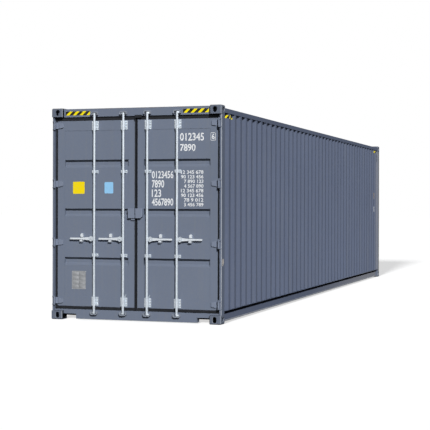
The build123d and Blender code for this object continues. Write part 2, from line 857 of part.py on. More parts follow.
with BuildPart() as left_door_bar_guides:
    for row in (bar_inner_y, bar_outer_y):
        for level in guide_heights:
            bar_guide(row, level - guide_height / 2, level + guide_height / 2, guide_foot, panel_depth)
        bar_guide(row, top_bracket[0], top_bracket[1], wide_guide_foot, door_face)
        bar_guide(row, bottom_bracket[0], bottom_bracket[1], wide_guide_foot, door_face)
save(left_door_bar_guides, "left_door_bar_guides")

# Handle catches: a cradle under the handle and a flap behind and above it
handle_low = handle_z - handle_grip / 2
handle_high = handle_z + handle_grip / 2
cradle_top = handle_low - catch_lip_clear
catch_top = handle_z + catch_above
catch_bottom = handle_z - catch_below
flap_front = handle_depth + handle_thickness + 6
plate_front = door_face - 8
cradle_front = handle_depth - 4
arm_low = cradle_top - catch_floor - catch_arm
with BuildPart() as left_door_handle_catches:
    for row in (bar_inner_y, bar_outer_y):
        with BuildSketch(Plane.XZ.offset(-row - catch_offset - catch_width / 2)):
            with BuildLine():
                Polyline(
                    (depth(panel_depth), catch_bottom),
                    (depth(panel_depth), catch_top),
                    (depth(flap_front + 6), catch_top),
                    (depth(flap_front), catch_top - 8),
                    (depth(flap_front), handle_high + 10),
                    (depth(plate_front), handle_high),
                    (depth(plate_front), cradle_top - catch_floor),
                    (depth(cradle_front), cradle_top - catch_floor),
                    (depth(cradle_front), cradle_top),
                    (depth(cradle_front - catch_lip), cradle_top),
                    (depth(cradle_front - catch_lip), arm_low + 8),
                    (depth(cradle_front + 8), arm_low),
                    (depth(plate_front - 6), catch_bottom),
                    close=True,
                )
            make_face()
        extrude(amount=catch_width)
    with BuildSketch(Plane.YZ.offset(door_end)) as catch_outline:
        for row in (bar_inner_y, bar_outer_y):
            with Locations((row + catch_offset, (catch_top + catch_bottom) / 2)):
                Rectangle(catch_width, catch_top - catch_bottom)
        chamfer(catch_outline.vertices(), catch_corner)
    extrude(amount=panel_depth, mode=Mode.INTERSECT)
save(left_door_handle_catches, "left_door_handle_catches")

# Lock box: an open cover in two halves that meet over the middle joint
lock_middle_z = (lock_low + lock_high) / 2
with BuildPart() as left_door_lock_box:
    with BuildSketch(Plane.YZ.offset(depth(lock_front))):
        with Locations(((lock_reach + lock_gap) / 2, lock_middle_z)):
            Rectangle(lock_reach - lock_gap, lock_high - lock_low)
    extrude(amount=door_face - lock_front)
    with BuildSketch(Plane.YZ.offset(depth(lock_front + lock_wall))):
        with Locations(((lock_reach - lock_wall) / 2, lock_middle_z)):
            Rectangle(lock_reach - lock_wall, lock_high - lock_low - 2 * lock_wall)
    extrude(amount=door_face - lock_front - 2 * lock_wall, mode=Mode.SUBTRACT)
    with BuildSketch(Plane.YZ.offset(depth(staple_front))):
        with Locations((lock_gap + staple_width / 2 + 8, lock_low - staple_drop / 2)):
            Rectangle(staple_width, staple_drop)
    extrude(amount=door_face - staple_front)
save(left_door_lock_box, "left_door_lock_box")

with BuildPart() as right_door_lock_box:
    with BuildSketch(Plane.YZ.offset(depth(lock_front))) as lock_cover:
        with BuildLine():
            Polyline(
                (-lock_gap, lock_high),
                (-lock_reach, lock_high),
                (-lock_reach, lock_low + lock_bevel),
                (-lock_reach + lock_bevel, lock_low),
                (-lock_gap, lock_low),
                close=True,
            )
        make_face()
    extrude(amount=door_face - lock_front)
    with BuildSketch(Plane.YZ.offset(depth(lock_front + lock_wall))):
        add(lock_cover.sketch.moved(Location((0, lock_wall, 0))))
        offset(amount=-lock_wall, kind=Kind.INTERSECTION, mode=Mode.REPLACE)
    extrude(amount=door_face - lock_front - 2 * lock_wall, mode=Mode.SUBTRACT)
    edges_at_end = right_door_lock_box.edges().filter_by(Axis.Z).group_by(Axis.Y)[0]
    chamfer(edges_at_end.sort_by(Axis.X)[0], lock_bevel / 2)
save(right_door_lock_box, "right_door_lock_box")


# Locking bars with a cam at each end and the ears that hold the handle
def locking_bar(row):
    """Round bar, two cams and two handle ears, all turned to plus Y."""
    with Locations((depth(bar_depth), row, (cam_top_z + cam_bottom_z) / 2)):
        Cylinder(bar_radius, cam_top_z - cam_bottom_z)
    for base in (cam_top_z - cam_height, cam_bottom_z):
        with BuildSketch(Plane.XY.offset(base)) as cam:
            with Locations((depth(bar_depth), row)):
                Circle(cam_radius)
            with Locations((depth(bar_depth), row + cam_reach - 4)):
                Rectangle(14, 8)
            make_hull()
        extrude(cam.sketch, amount=cam_height)
    front_ear = handle_depth - ear_gap - ear_thickness
    back_ear = handle_depth + handle_thickness + ear_gap
    for plate in (front_ear, back_ear):
        with BuildSketch(Plane.YZ.offset(depth(plate))) as ear:
            with Locations((row + pivot_offset / 2, handle_z)):
                Rectangle(pivot_offset, ear_height)
            with Locations((row + pivot_offset, handle_z)):
                RegularPolygon(ear_radius, 6, rotation=30)
            with Locations((row - bar_radius, handle_z)):
                Rectangle(2 * bar_radius, 2 * ear_radius, mode=Mode.SUBTRACT)
        extrude(ear.sketch, amount=ear_thickness)
    with BuildSketch(Plane.YZ.offset(depth(front_ear + ear_thickness / 2))) as pivot:
        with Locations((row + pivot_offset, handle_z)):
            Circle(pivot_radius)
    extrude(pivot.sketch, amount=back_ear - front_ear)


# Handles: a tapered flat bar that lifts about the pivot between the ears
def handle(row):
    """Flat bar that runs to plus Y from its locking bar."""
    with BuildSketch(Plane.YZ.offset(depth(handle_depth))) as blade:
        with BuildLine():
            Polyline(
                (row + handle_start, handle_z + handle_root / 2 - handle_corner),
                (row + handle_start + handle_corner, handle_z + handle_root / 2),
                (row + handle_root_end, handle_z + handle_root / 2),
                (row + handle_grip_start, handle_high),
                (row + handle_end - handle_corner, handle_high),
                (row + handle_end, handle_high - handle_corner),
                (row + handle_end, handle_low + handle_corner),
                (row + handle_end - handle_corner, handle_low),
                (row + handle_grip_start, handle_low),
                (row + handle_root_end, handle_z - handle_root / 2),
                (row + handle_start + handle_corner, handle_z - handle_root / 2),
                (row + handle_start, handle_z - handle_root / 2 + handle_corner),
                close=True,
            )
        make_face()
        with Locations((row + pivot_offset, handle_z)):
            Circle(pivot_radius + pivot_clear, mode=Mode.SUBTRACT)
    extrude(blade.sketch, amount=handle_thickness)


with BuildPart() as left_outer_locking_bar:
    locking_bar(bar_outer_y)
save(left_outer_locking_bar, "left_outer_locking_bar")

with BuildPart() as left_inner_locking_bar:
    locking_bar(bar_inner_y)
save(left_inner_locking_bar, "left_inner_locking_bar")

with BuildPart() as left_outer_handle:
    handle(bar_outer_y)
save(left_outer_handle, "left_outer_handle")

with BuildPart() as left_inner_handle:
    handle(bar_inner_y)
save(left_inner_handle, "left_inner_handle")

# The right door carries the same pieces, mirrored about the middle
mirrored_pieces = (
    (left_door_frame, "right_door_frame"),
    (left_door_panel, "right_door_panel"),
    (left_door_gasket, "right_door_gasket"),
    (left_door_hinges, "right_door_hinges"),
    (left_door_bar_guides, "right_door_bar_guides"),
    (left_door_handle_catches, "right_door_handle_catches"),
    (left_outer_locking_bar, "right_outer_locking_bar"),
    (left_inner_locking_bar, "right_inner_locking_bar"),
    (left_outer_handle, "right_outer_handle"),
    (left_inner_handle, "right_inner_handle"),
)
for source, name in mirrored_pieces:
    with BuildPart() as twin:
        mirror(source.part, about=Plane.XZ)
    save(twin, name)
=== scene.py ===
# %% [markdown]
# # Dressing a freight container
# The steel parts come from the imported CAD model, in metres, with the doors at minus X.
# They could be modelled again in Blender, but then the hinges and bars would no longer fit,
# so they stay as they are and this script gives them their finish and their small parts.

# %% Load the fixed frame
import json
import math

import bmesh
import bpy
from mathutils import Matrix, Vector

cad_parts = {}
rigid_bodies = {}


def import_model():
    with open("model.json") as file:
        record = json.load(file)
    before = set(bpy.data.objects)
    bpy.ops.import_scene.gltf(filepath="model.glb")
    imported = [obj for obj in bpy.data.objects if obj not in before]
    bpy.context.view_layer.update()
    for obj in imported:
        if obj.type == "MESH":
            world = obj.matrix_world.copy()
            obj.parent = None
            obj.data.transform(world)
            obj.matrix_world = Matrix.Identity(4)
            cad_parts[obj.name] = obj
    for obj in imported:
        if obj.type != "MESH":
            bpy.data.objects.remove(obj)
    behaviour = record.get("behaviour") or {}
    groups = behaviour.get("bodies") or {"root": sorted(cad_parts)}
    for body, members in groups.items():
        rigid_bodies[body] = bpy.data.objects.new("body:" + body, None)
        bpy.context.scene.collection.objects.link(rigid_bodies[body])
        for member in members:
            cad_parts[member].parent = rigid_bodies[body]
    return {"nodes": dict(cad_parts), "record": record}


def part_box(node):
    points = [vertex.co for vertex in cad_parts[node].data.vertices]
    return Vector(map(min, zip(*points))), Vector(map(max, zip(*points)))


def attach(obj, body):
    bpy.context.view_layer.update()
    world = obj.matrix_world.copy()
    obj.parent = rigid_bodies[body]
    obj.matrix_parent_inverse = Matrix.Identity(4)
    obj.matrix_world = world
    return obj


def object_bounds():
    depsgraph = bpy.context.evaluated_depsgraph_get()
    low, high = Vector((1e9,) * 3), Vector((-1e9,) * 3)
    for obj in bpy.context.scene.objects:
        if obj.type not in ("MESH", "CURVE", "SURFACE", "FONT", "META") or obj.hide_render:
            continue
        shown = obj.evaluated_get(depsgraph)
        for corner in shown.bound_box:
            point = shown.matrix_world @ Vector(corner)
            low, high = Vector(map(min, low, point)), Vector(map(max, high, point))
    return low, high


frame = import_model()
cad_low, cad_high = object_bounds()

print("nodes", len(frame["nodes"]), "length", round(cad_high.x - cad_low.x, 3))

# %% [markdown]
# Sizes are easiest to read in millimetres, as on a drawing, while Blender works in metres.
# The few faces and levels that the small parts are set against are read from the frame.

# %% Millimetres, and the levels to work from
MM = 0.001
door_end = cad_low.x
leaf_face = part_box("left_door_frame")[0].x
panel_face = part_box("left_door_panel")[0].x
header_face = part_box("door_header")[0].x
front_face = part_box("front_header")[1].x
wall_low, wall_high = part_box("side_wall_right")
print("leaf face", round(leaf_face - door_end, 4), "behind the castings")

# %% [markdown]
# A mesh can be typed point by point, or made by bmesh from boxes, prisms and turned shapes.
# The small parts here are all flat plates, blocks and round heads, so one kind of solid will do:
# a prism, which is an outline in a plane, pushed along that plane's normal. A bevel rounds its
# edges afterwards, because no real edge is quite sharp, and a round one catches the light.

# %% Make a mesh piece
def frame_of(origin, across, up):
    """Matrix of a plane at origin: its x runs across, its y runs up, its z is the normal."""
    across, up = Vector(across).normalized(), Vector(up).normalized()
    normal = across.cross(up)
    rows = Matrix((across, up, normal)).transposed().to_4x4()
    return Matrix.Translation(Vector(origin)) @ rows


def add_prism(mesh, outline, height, place, grow=1.0):
    """Add the prism over an outline to a bmesh; grow scales its far end."""
    middle = sum((Vector(p) for p in outline), Vector((0, 0))) / len(outline)
    lower = [mesh.verts.new(place @ Vector((*p, 0))) for p in outline]
    upper = [middle + (Vector(p) - middle) * grow for p in outline]
    upper = [mesh.verts.new(place @ Vector((*p, height))) for p in upper]
    mesh.faces.new(list(reversed(lower)))
    mesh.faces.new(upper)
    for k in range(len(outline)):
        mesh.faces.new((lower[k - 1], lower[k], upper[k], upper[k - 1]))


def rectangle(width, height, x=0.0, y=0.0):
    """Outline of a rectangle about x, y."""
    w, h = width / 2, height / 2
    return [(x - w, y - h), (x + w, y - h), (x + w, y + h), (x - w, y + h)]


def ring(radius, sides, x=0.0, y=0.0, turn=0.0):
    """Outline of a regular polygon about x, y."""
    step = 2 * math.pi / sides
    return [
        (x + radius * math.cos(turn + step * k), y + radius * math.sin(turn + step * k))
        for k in range(sides)
    ]


def finish_piece(mesh, name, material, body, bevel=0.0):
    """Turn a bmesh into a shown piece that rides on a body."""
    bmesh.ops.recalc_face_normals(mesh, faces=mesh.faces[:])
    data = bpy.data.meshes.new(name)
    mesh.to_mesh(data)
    mesh.free()
    piece = bpy.data.objects.new(name, data)
    bpy.context.collection.objects.link(piece)
    data.materials.append(material)
    if bevel:
        edges = piece.modifiers.new("rounded edges", "BEVEL")
        edges.width = bevel
        edges.segments = 2
        edges.limit_method = "ANGLE"
        edges.angle_limit = math.radians(35)
        edges.harden_normals = True
    for face in data.polygons:
        face.use_smooth = bool(bevel)
    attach(piece, body)
    print(name, "faces", len(data.polygons), "on", body)
    return piece

# %% [markdown]
# The camera stands at the doors, a little to the right of the container, at eye height.
# Its place and its long lens were worked out from the container's known size: the frame's
# corners were measured in the photograph, and the camera was moved until they all fitted.

# %% Camera
FRAME_PIXELS = 430
FOCAL_PIXELS = 1247.2
CENTRE_PIXEL = (166.4, 206.0)
CAMERA_PLACE = (-21.777, -5.957, 1.560)
CAMERA_YAW = math.radians(19.327)
CAMERA_ROLL = math.radians(0.154)
SENSOR_WIDTH = 36.0

camera_data = bpy.data.cameras.new("camera")
camera = bpy.data.objects.new("camera", camera_data)
bpy.context.collection.objects.link(camera)
camera_data.sensor_width = SENSOR_WIDTH
camera_data.lens = SENSOR_WIDTH * FOCAL_PIXELS / FRAME_PIXELS
camera_data.shift_x = (FRAME_PIXELS / 2 - CENTRE_PIXEL[0]) / FRAME_PIXELS
camera_data.shift_y = (CENTRE_PIXEL[1] - FRAME_PIXELS / 2) / FRAME_PIXELS
camera_data.clip_end = 400
forward = Vector((math.cos(CAMERA_YAW), math.sin(CAMERA_YAW), 0))
level = forward.to_track_quat("-Z", "Y").to_matrix().to_4x4()
roll = Matrix.Rotation(CAMERA_ROLL, 4, "Z")
camera.matrix_world = Matrix.Translation(CAMERA_PLACE) @ level @ roll
bpy.context.scene.camera = camera
print("lens", round(camera_data.lens, 1), "mm")

# %% [markdown]
# Materials are trees of nodes. Typing each node and link takes many lines, so one helper adds
# a node with its settings and its inputs. An input that comes from another node is given as
# that node, which stands for its first output in use. Another helper turns the hex colours,
# which are sRGB as in any paint program, into the linear values that the shaders work with.

# %% Node helper and colour helper
def set_inputs(node, inputs):
    """Set inputs of a node, each to a plain value, to another node, or to one output of it."""
    for socket, value in inputs.items():
        if isinstance(value, bpy.types.Node):
            value = next(output for output in value.outputs if output.enabled)
        if isinstance(value, bpy.types.NodeSocket):
            node.id_data.links.new(value, node.inputs[socket])
        else:
            node.inputs[socket].default_value = value


def add_node(tree, kind, inputs=None, **settings):
    """Add one shader node with its settings and its inputs."""
    node = tree.nodes.new("ShaderNode" + kind)
    for name, value in settings.items():
        setattr(node, name, value)
    set_inputs(node, inputs or {})
    return node


def linear(hex_colour):
    """Linear RGBA of an sRGB hex colour."""
    values = [int(hex_colour[k : k + 2], 16) / 255 for k in (1, 3, 5)]
    values = [v / 12.92 if v <= 0.04045 else ((v + 0.055) / 1.055) ** 2.4 for v in values]
    return (*values, 1.0)


def per_metre(millimetres):
    """Scale of a pattern whose features are this far apart."""
    return 1000.0 / millimetres


def new_material(name):
    """An empty material with a principled shader, and its tree."""
    material = bpy.data.materials.new(name)
    material.use_nodes = True
    tree = material.node_tree
    tree.nodes.clear()
    shader = add_node(tree, "BsdfPrincipled")
    add_node(tree, "OutputMaterial", {"Surface": shader})
    return material, tree, shader

# %% [markdown]
# The container stands in a bright studio. The world is white where the camera or a shiny
# surface sees it. On the container itself it puts only a weak and even light from all round,
# and leaves the rest to the lamps, so that the shadows stay clear.

# %% World
AMBIENT_STRENGTH = 0.13
WHITE = (1, 1, 1, 1)

world = bpy.data.worlds.new("white studio")
bpy.context.scene.world = world
world.use_nodes = True
tree = world.node_tree
tree.nodes.clear()
rays = add_node(tree, "LightPath").outputs
seen = rays["Is Camera Ray"]
for kind in ("Is Glossy Ray", "Is Transmission Ray"):
    seen = add_node(tree, "Math", {0: seen, 1: rays[kind]}, operation="MAXIMUM")
ambient = add_node(tree, "Background", {"Color": linear("#F4F7FF"), "Strength": AMBIENT_STRENGTH})
backdrop = add_node(tree, "Background", {"Color": WHITE, "Strength": 1.0})
mixed = add_node(tree, "MixShader", {0: seen, 1: ambient, 2: backdrop})
add_node(tree, "OutputWorld", {"Surface": mixed})
bpy.context.scene.view_settings.view_transform = "Standard"
print("world strength", AMBIENT_STRENGTH)

# %% [markdown]
# The floor is one white sheet. Under this light plain white would come out as a pale grey, so
# rays from the camera, and those that a shiny surface mirrors, also meet a glow in it. For other
# rays the sheet is a middle grey, so that it doesn't throw light up under the rails. The shadow
# of the container stays, because the glow is added to the light, not put over it.

# %% Floor
FLOOR_HALF = 150.0
FLOOR_LEVEL = -0.5 * MM
FLOOR_GLOW = 0.63

floor_material, tree, shader = new_material("matt white floor")
rays = add_node(tree, "LightPath").outputs
sheet = add_node(
    tree, "Mix", {0: rays["Is Camera Ray"], 6: linear("#6E6E6E"), 7: linear("#B0B0B0")},
    data_type="RGBA",
)
seen = add_node(
    tree, "Math", {0: rays["Is Camera Ray"], 1: rays["Is Glossy Ray"]}, operation="MAXIMUM"
)
glow = add_node(tree, "Math", {0: seen, 1: FLOOR_GLOW}, operation="MULTIPLY")
set_inputs(shader, {"Base Color": sheet, "Roughness": 0.9, "Specular IOR Level": 0.0})
set_inputs(shader, {"Emission Color": WHITE, "Emission Strength": glow})
floor_mesh = bmesh.new()
corners = [(x * FLOOR_HALF, y * FLOOR_HALF) for x, y in ((-1, -1), (1, -1), (1, 1), (-1, 1))]
floor_mesh.faces.new([floor_mesh.verts.new((x, y, FLOOR_LEVEL)) for x, y in corners])
floor_data = bpy.data.meshes.new("floor")
floor_mesh.to_mesh(floor_data)
floor_mesh.free()
floor = bpy.data.objects.new("floor", floor_data)
bpy.context.collection.objects.link(floor)
floor_data.materials.append(floor_material)
print("floor", 2 * FLOOR_HALF, "m wide")

# %% [markdown]
# A key lamp from high on the right draws the shadows of the bars on the doors, and a back lamp
# lights the far sides. Sun lamps are used, because over twelve metres an area lamp would fade.
# The shadow on the floor runs straight back from the container, although the bars throw theirs
# to the left. One lamp can't do both, so the floor has a lamp of its own with a softer edge.
# Light linking keeps it off the container, and keeps the other two lamps off the floor.

# %% Lamps
# Name, strength, width of its disc in degrees, direction that it shines from, link to the floor.
LAMPS = (
    ("key lamp", 3.6, 3, (-0.757, -0.454, 0.47), "EXCLUDE"),
    ("back lamp", 2.8, 25, (0.55, 0.6, 0.58), "EXCLUDE"),
    ("floor lamp", 7.4, 6, (-0.944, -0.045, 0.326), "INCLUDE"),
)
for name, strength, spread, source, floor_link in LAMPS:
    lamp_data = bpy.data.lights.new(name, "SUN")
    lamp_data.energy = strength
    lamp_data.angle = math.radians(spread)
    lamp = bpy.data.objects.new(name, lamp_data)
    bpy.context.collection.objects.link(lamp)
    lamp.matrix_world = Vector(source).to_track_quat("Z", "Y").to_matrix().to_4x4()
    receivers = bpy.data.collections.new(name + " receivers")
    receivers.objects.link(floor)
    receivers.collection_objects[0].light_linking.link_state = floor_link
    lamp.light_linking.receiver_collection = receivers
    print(name, strength, "from", source)

# %% [markdown]
# The walls, posts and doors carry two coats of grey enamel on steel sheet. Sprayed enamel is
# nearly even, so what the eye reads is small: a slow change of shade from sheet to sheet, thin
# streaks where rain has run down, dust, a fine orange peel, and a few chips that have rusted.
# All of it could be painted by hand into an image, but noise in the object's own metres needs
# no image and stays sharp from any distance. Some marks show in one place only. Each of those
# is a small function that gives a mask, which says how strongly the mark shows, and its colour.

# %% Marks that show in one place
# Sockets of a Map Range node, so that a row of values can fill them in this order.
RANGE_SOCKETS = ("Value", "From Min", "From Max", "To Min", "To Max")


def edge_rust(tree, look, level):
    """Patchy rust just under a top edge at this level."""
    near, broken = (
        add_node(tree, "MapRange", dict(zip(RANGE_SOCKETS, values)))
        for values in ((look["z"], level - 12 * MM, level), (look["chips"], 0.42, 0.6, 0.0, 0.8))
    )
    return add_node(tree, "Math", {0: near, 1: broken}, operation="MULTIPLY"), "#5E4A3C"


def road_dust_and_sheen(tree, look, start, end, amount, colour):
    """Pale streaks on side faces from x start to end: dust, and painted sheen at the far corner."""
    mask, streaky = (
        add_node(tree, "MapRange", dict(zip(RANGE_SOCKETS, values)))
        for values in ((look["x"], start, end, 0.0, amount), (look["runs"], 0.35, 0.65, 0.6))
    )
    sideways = add_node(tree, "Math", {0: look["facing"]["Y"]}, operation="ABSOLUTE")
    for share in (streaky, sideways):
        mask = add_node(tree, "Math", {0: mask, 1: share}, operation="MULTIPLY")
    return mask, colour


def pale_edge(tree, look, level):
    """A lower edge made paler, below this level."""
    inputs = {"Value": look["z"], "From Min": level, "From Max": level - 3 * MM, "To Max": 0.7}
    return add_node(tree, "MapRange", inputs), "#A7A9AD"


def scuff(tree, look, spot, radius):
    """A ragged scraped patch round a spot."""
    reach = add_node(tree, "VectorMath", {0: look["place"], 1: spot}, operation="DISTANCE")
    ragged = add_node(
        tree, "Math", {0: reach, 1: -0.35 / radius, 2: look["grit"]}, operation="MULTIPLY_ADD"
    )
    inputs = {"Value": ragged, "From Min": 0.29, "From Max": 0.33, "To Max": 0.85}
    return add_node(tree, "MapRange", inputs), "#D2CBC2"


def corner_wear_and_highlight(tree, look, amount):
    """Upright corners: wear and painted highlight, the only faces that look along both x and y."""
    facing = look["facing"]
    both = add_node(tree, "Math", {0: facing["X"], 1: facing["Y"]}, operation="MULTIPLY")
    both = add_node(tree, "Math", {0: both}, operation="ABSOLUTE")
    inputs = {"Value": both, "From Min": 0.25, "From Max": 0.4, "To Max": amount}
    return add_node(tree, "MapRange", inputs), "#B4B8BF"

# %% [markdown]
# Undersides get painted shade: they are made nearly black, darker than the lamps leave them.
# Two more places get painted shade, each from a mask of its own: the insides of the castings
# with their inner sides, and the top of the rail's web, where the flange's shadow is painted on.

# %% Places with painted shade
def flange_shadow(tree, look, level, width):
    """Painted shadow on the band of a web, this wide, under a flange at this level."""
    values = (look["z"], level - width, level - 0.8 * width, 0.0, 0.9)
    dark = add_node(tree, "MapRange", dict(zip(RANGE_SOCKETS, values)))
    lower = add_node(tree, "Math", {0: look["z"], 1: level - 3 * MM}, operation="LESS_THAN")
    return add_node(tree, "Math", {0: dark, 1: lower}, operation="MULTIPLY")


def hollow_shade(tree, look, *spans):
    """Painted shade inside the castings: the middle and half width along x, y and z, as mirrored.
    """
    mirrored = add_node(tree, "VectorMath", {0: look["place"]}, operation="ABSOLUTE")
    axes = add_node(tree, "SeparateXYZ", {"Vector": mirrored}).outputs
    mask = 1.0
    for axis, (middle, half) in zip("XYZ", spans):
        inside = add_node(tree, "Math", {0: axes[axis], 1: middle, 2: half}, operation="COMPARE")
        mask = add_node(tree, "Math", {0: mask, 1: inside}, operation="MULTIPLY")
    return mask

# %% [markdown]
# The coat itself is a list of layers: rain runs, dust, rusted chips, the marks of one place, and
# painted shade. Each is laid over those before it. The patterns come from noise of a few sizes.
# Real dust, rain runs and orange peel are finer than a pixel of the render, so they are drawn
# as coarse as they need to show: orange peel has waves of two millimetres, here it has six.

# %% Enamel paint on steel
# Size of each pattern in millimetres, its detail and its roughness. Runs are stretched first.
ENAMEL_PATTERNS = {
    "cloud": (1400, 4.0, 0.55),
    "runs": (1000, 3.0, 0.6),
    "grit": (28, 6.0, 0.7),
    "chips": (75, 8.0, 0.62),
    "peel": (6, 2.0, 0.5),
    "wave": (420, 1.0, 0.4),
}
RUN_WIDTH, RUN_LENGTH = 45, 1600


def enamel(
    name, colour, rust_amount, sheet_wave, gloss_level=0.0, dirt_amount=1.0, marks=(), painted_shade=()
):
    """Grey enamel with rain runs, dust and chips; marks and painted_shade name the places above."""
    material, tree, shader = new_material(name)
    place = add_node(tree, "TexCoord").outputs["Object"]
    axes = add_node(tree, "SeparateXYZ", {"Vector": place}).outputs
    normal = add_node(tree, "NewGeometry").outputs["Normal"]
    facing = add_node(tree, "SeparateXYZ", {"Vector": normal}).outputs
    look = {"place": place, "x": axes["X"], "z": axes["Z"], "facing": facing}
    stretch = (per_metre(RUN_WIDTH), per_metre(RUN_WIDTH), per_metre(RUN_LENGTH))
    stretched = add_node(tree, "Mapping", {"Vector": place, "Scale": stretch})
    for pattern, (size, detail, roughness) in ENAMEL_PATTERNS.items():
        vector, scale = (stretched if pattern == "runs" else place), per_metre(size)
        inputs = {"Vector": vector, "Scale": scale, "Detail": detail, "Roughness": roughness}
        look[pattern] = add_node(tree, "TexNoise", inputs)
    ranges = {}
    for use, *values in (
        ("runs", look["runs"], 0.52, 0.8, 0.0, 0.28 * dirt_amount),
        ("dust", look["grit"], 0.5, 0.85, 0.0, 0.22 * dirt_amount),
        ("clusters", look["cloud"], 0.4, 0.75, -0.03, 0.04),
        ("shade", look["cloud"], 0.3, 0.7, 0.97, 1.05),
        ("gloss", look["grit"], 0.3, 0.8, 0.52, 0.68),
        # Faces that look down are made nearly black by this range: painted shade.
        ("under", facing["Z"], -0.4, -0.85, 0.0, 0.92),
    ):
        ranges[use] = add_node(tree, "MapRange", dict(zip(RANGE_SOCKETS, values)))
    chipped = add_node(tree, "Math", {0: look["chips"], 1: ranges["clusters"]}, operation="ADD")
    first_chips = 0.79 - 0.1 * rust_amount
    inputs = {"Value": chipped, "From Min": first_chips, "From Max": first_chips + 0.04}
    chip_mask = add_node(tree, "MapRange", inputs)
    under = ranges["under"]
    for find_painted_shade, *values in painted_shade:
        found = find_painted_shade(tree, look, *values)
        under = add_node(tree, "Math", {0: under, 1: found}, operation="MAXIMUM")
    inputs = {0: linear(colour)[:3], "Scale": ranges["shade"]}
    coat = add_node(tree, "VectorMath", inputs, operation="SCALE")
    layers = [(ranges["runs"], "#7C7F82"), (ranges["dust"], "#8E8B84"), (chip_mask, "#6B4632")]
    layers += [find_mark(tree, look, *values) for find_mark, *values in marks]
    # The last layer is painted shade: undersides and the painted_shade places go nearly black.
    for mask, tint in layers + [(under, "#111214")]:
        coat = add_node(tree, "Mix", {0: mask, 6: coat, 7: linear(tint)}, data_type="RGBA")
    dull = add_node(tree, "Math", {0: ranges["gloss"], 1: chip_mask}, operation="MAXIMUM")
    bump = add_node(tree, "Bump", {"Height": look["peel"], "Strength": 0.25, "Distance": 0.2 * MM})
    bump = add_node(
        tree, "Bump",
        {"Height": look["wave"], "Strength": sheet_wave, "Distance": 6 * MM, "Normal": bump},
    )
    set_inputs(shader, {"Base Color": coat, "Roughness": dull, "Normal": bump})
    set_inputs(shader, {"IOR": 1.5, "Specular IOR Level": gloss_level})
    return material

# %% [markdown]
# All parts have nearly the same grey, but the walls' grey is darker: painted shade on the sides.
# They differ in how much rust they have, how even their sheet is, and where their marks lie.
# The doors and the frame have a little more gloss.

# %% The enamels of this container
DOOR_PAINT = "#6D7687"
# A darker copy of the door grey: painted shade that keeps the side walls darker than the doors.
SHADED_WALL_PAINT = "#626B80"
TOP_EDGE = cad_high.z - 9 * MM
# Mirrored box inside which the castings get painted shade.
CASTING_SHADE_BOX = ((6.005, 0.08), (1.114, 0.064), (1.448, 1.437))
SCRAPED_SPOT = (-6.0, -1.219, 0.81)
RAIL_TOP, RAIL_SHADOW_BAND, RAIL_EDGE = 165 * MM, 52 * MM, 40 * MM

door_enamel = enamel("grey enamel on the doors", DOOR_PAINT, 0.15, 0.3, gloss_level=0.1)
# The far end of the wall, beside the corner post, is painted paler: painted sheen.
wall_enamel = enamel(
    "grey enamel on corrugated sheet", SHADED_WALL_PAINT, 0.15, 0.6,
    marks=[(road_dust_and_sheen, 5.64, 5.74, 0.85, "#8C8E96")],
)
frame_enamel = enamel(
    "grey enamel on rolled steel", DOOR_PAINT, 0.4, 0.15, gloss_level=0.08,
    marks=[(edge_rust, TOP_EDGE)],
)
# Posts: painted sheen on the far ones, and a painted highlight with wear on upright corners.
post_enamel = enamel(
    "grey enamel on pressed posts", "#687183", 0.5, 0.15,
    marks=[
        (road_dust_and_sheen, 5.8, 5.9, 0.9, "#9A9997"), (scuff, SCRAPED_SPOT, 70 * MM), (corner_wear_and_highlight, 0.95)
    ],
)
rail_enamel = enamel("grey enamel on the top rails", SHADED_WALL_PAINT, 0.5, 0.15)
# Bottom rails: road dust, a paler lower edge, and the painted shadow of the flange on the web.
dusty_rail_enamel = enamel(
    "grey enamel on the bottom rails", SHADED_WALL_PAINT, 0.5, 0.15,
    marks=[(road_dust_and_sheen, -1.0, 4.5, 0.9, "#96979C"), (pale_edge, RAIL_EDGE)],
    painted_shade=[(flange_shadow, RAIL_TOP, RAIL_SHADOW_BAND)],
)
# Castings: painted shade inside, and a faint painted highlight with wear on upright corners.
casting_enamel = enamel(
    "grey enamel on cast steel", "#646C7B", 0.75, 0.1, dirt_amount=1.6,
    marks=[(edge_rust, cad_high.z), (corner_wear_and_highlight, 0.25)],
    painted_shade=[(hollow_shade, *CASTING_SHADE_BOX)],
)
fitting_enamel = enamel("grey enamel on hinges and lock box", "#788193", 0.3, 0.1, gloss_level=0.1)
keeper_enamel = enamel("worn enamel on cam keepers", "#8B929E", 0.3, 0.1, gloss_level=0.1)
print("enamels made")

# %% [markdown]
# The locking bars, their handles and their brackets are dipped in molten zinc. A zinc coat is a
# bright, pale metal with broad crystals, each a little lighter or darker than the next, and it
# dulls in patches. Cell noise gives the crystals, at the fifteen millimetres that they have.
# Patches of dust or wear come back in the other finishes, so they get a helper of their own.

# %% Hot dip galvanised steel
def patchy(tree, place, size, detail, roughness, low, high, most):
    """Noise of this size in millimetres, and a mask that rises to most from low to high in it."""
    inputs = {"Vector": place, "Scale": per_metre(size), "Detail": detail, "Roughness": roughness}
    noise = add_node(tree, "TexNoise", inputs)
    inputs = {"Value": noise, "From Min": low, "From Max": high, "To Max": most}
    return noise, add_node(tree, "MapRange", inputs)


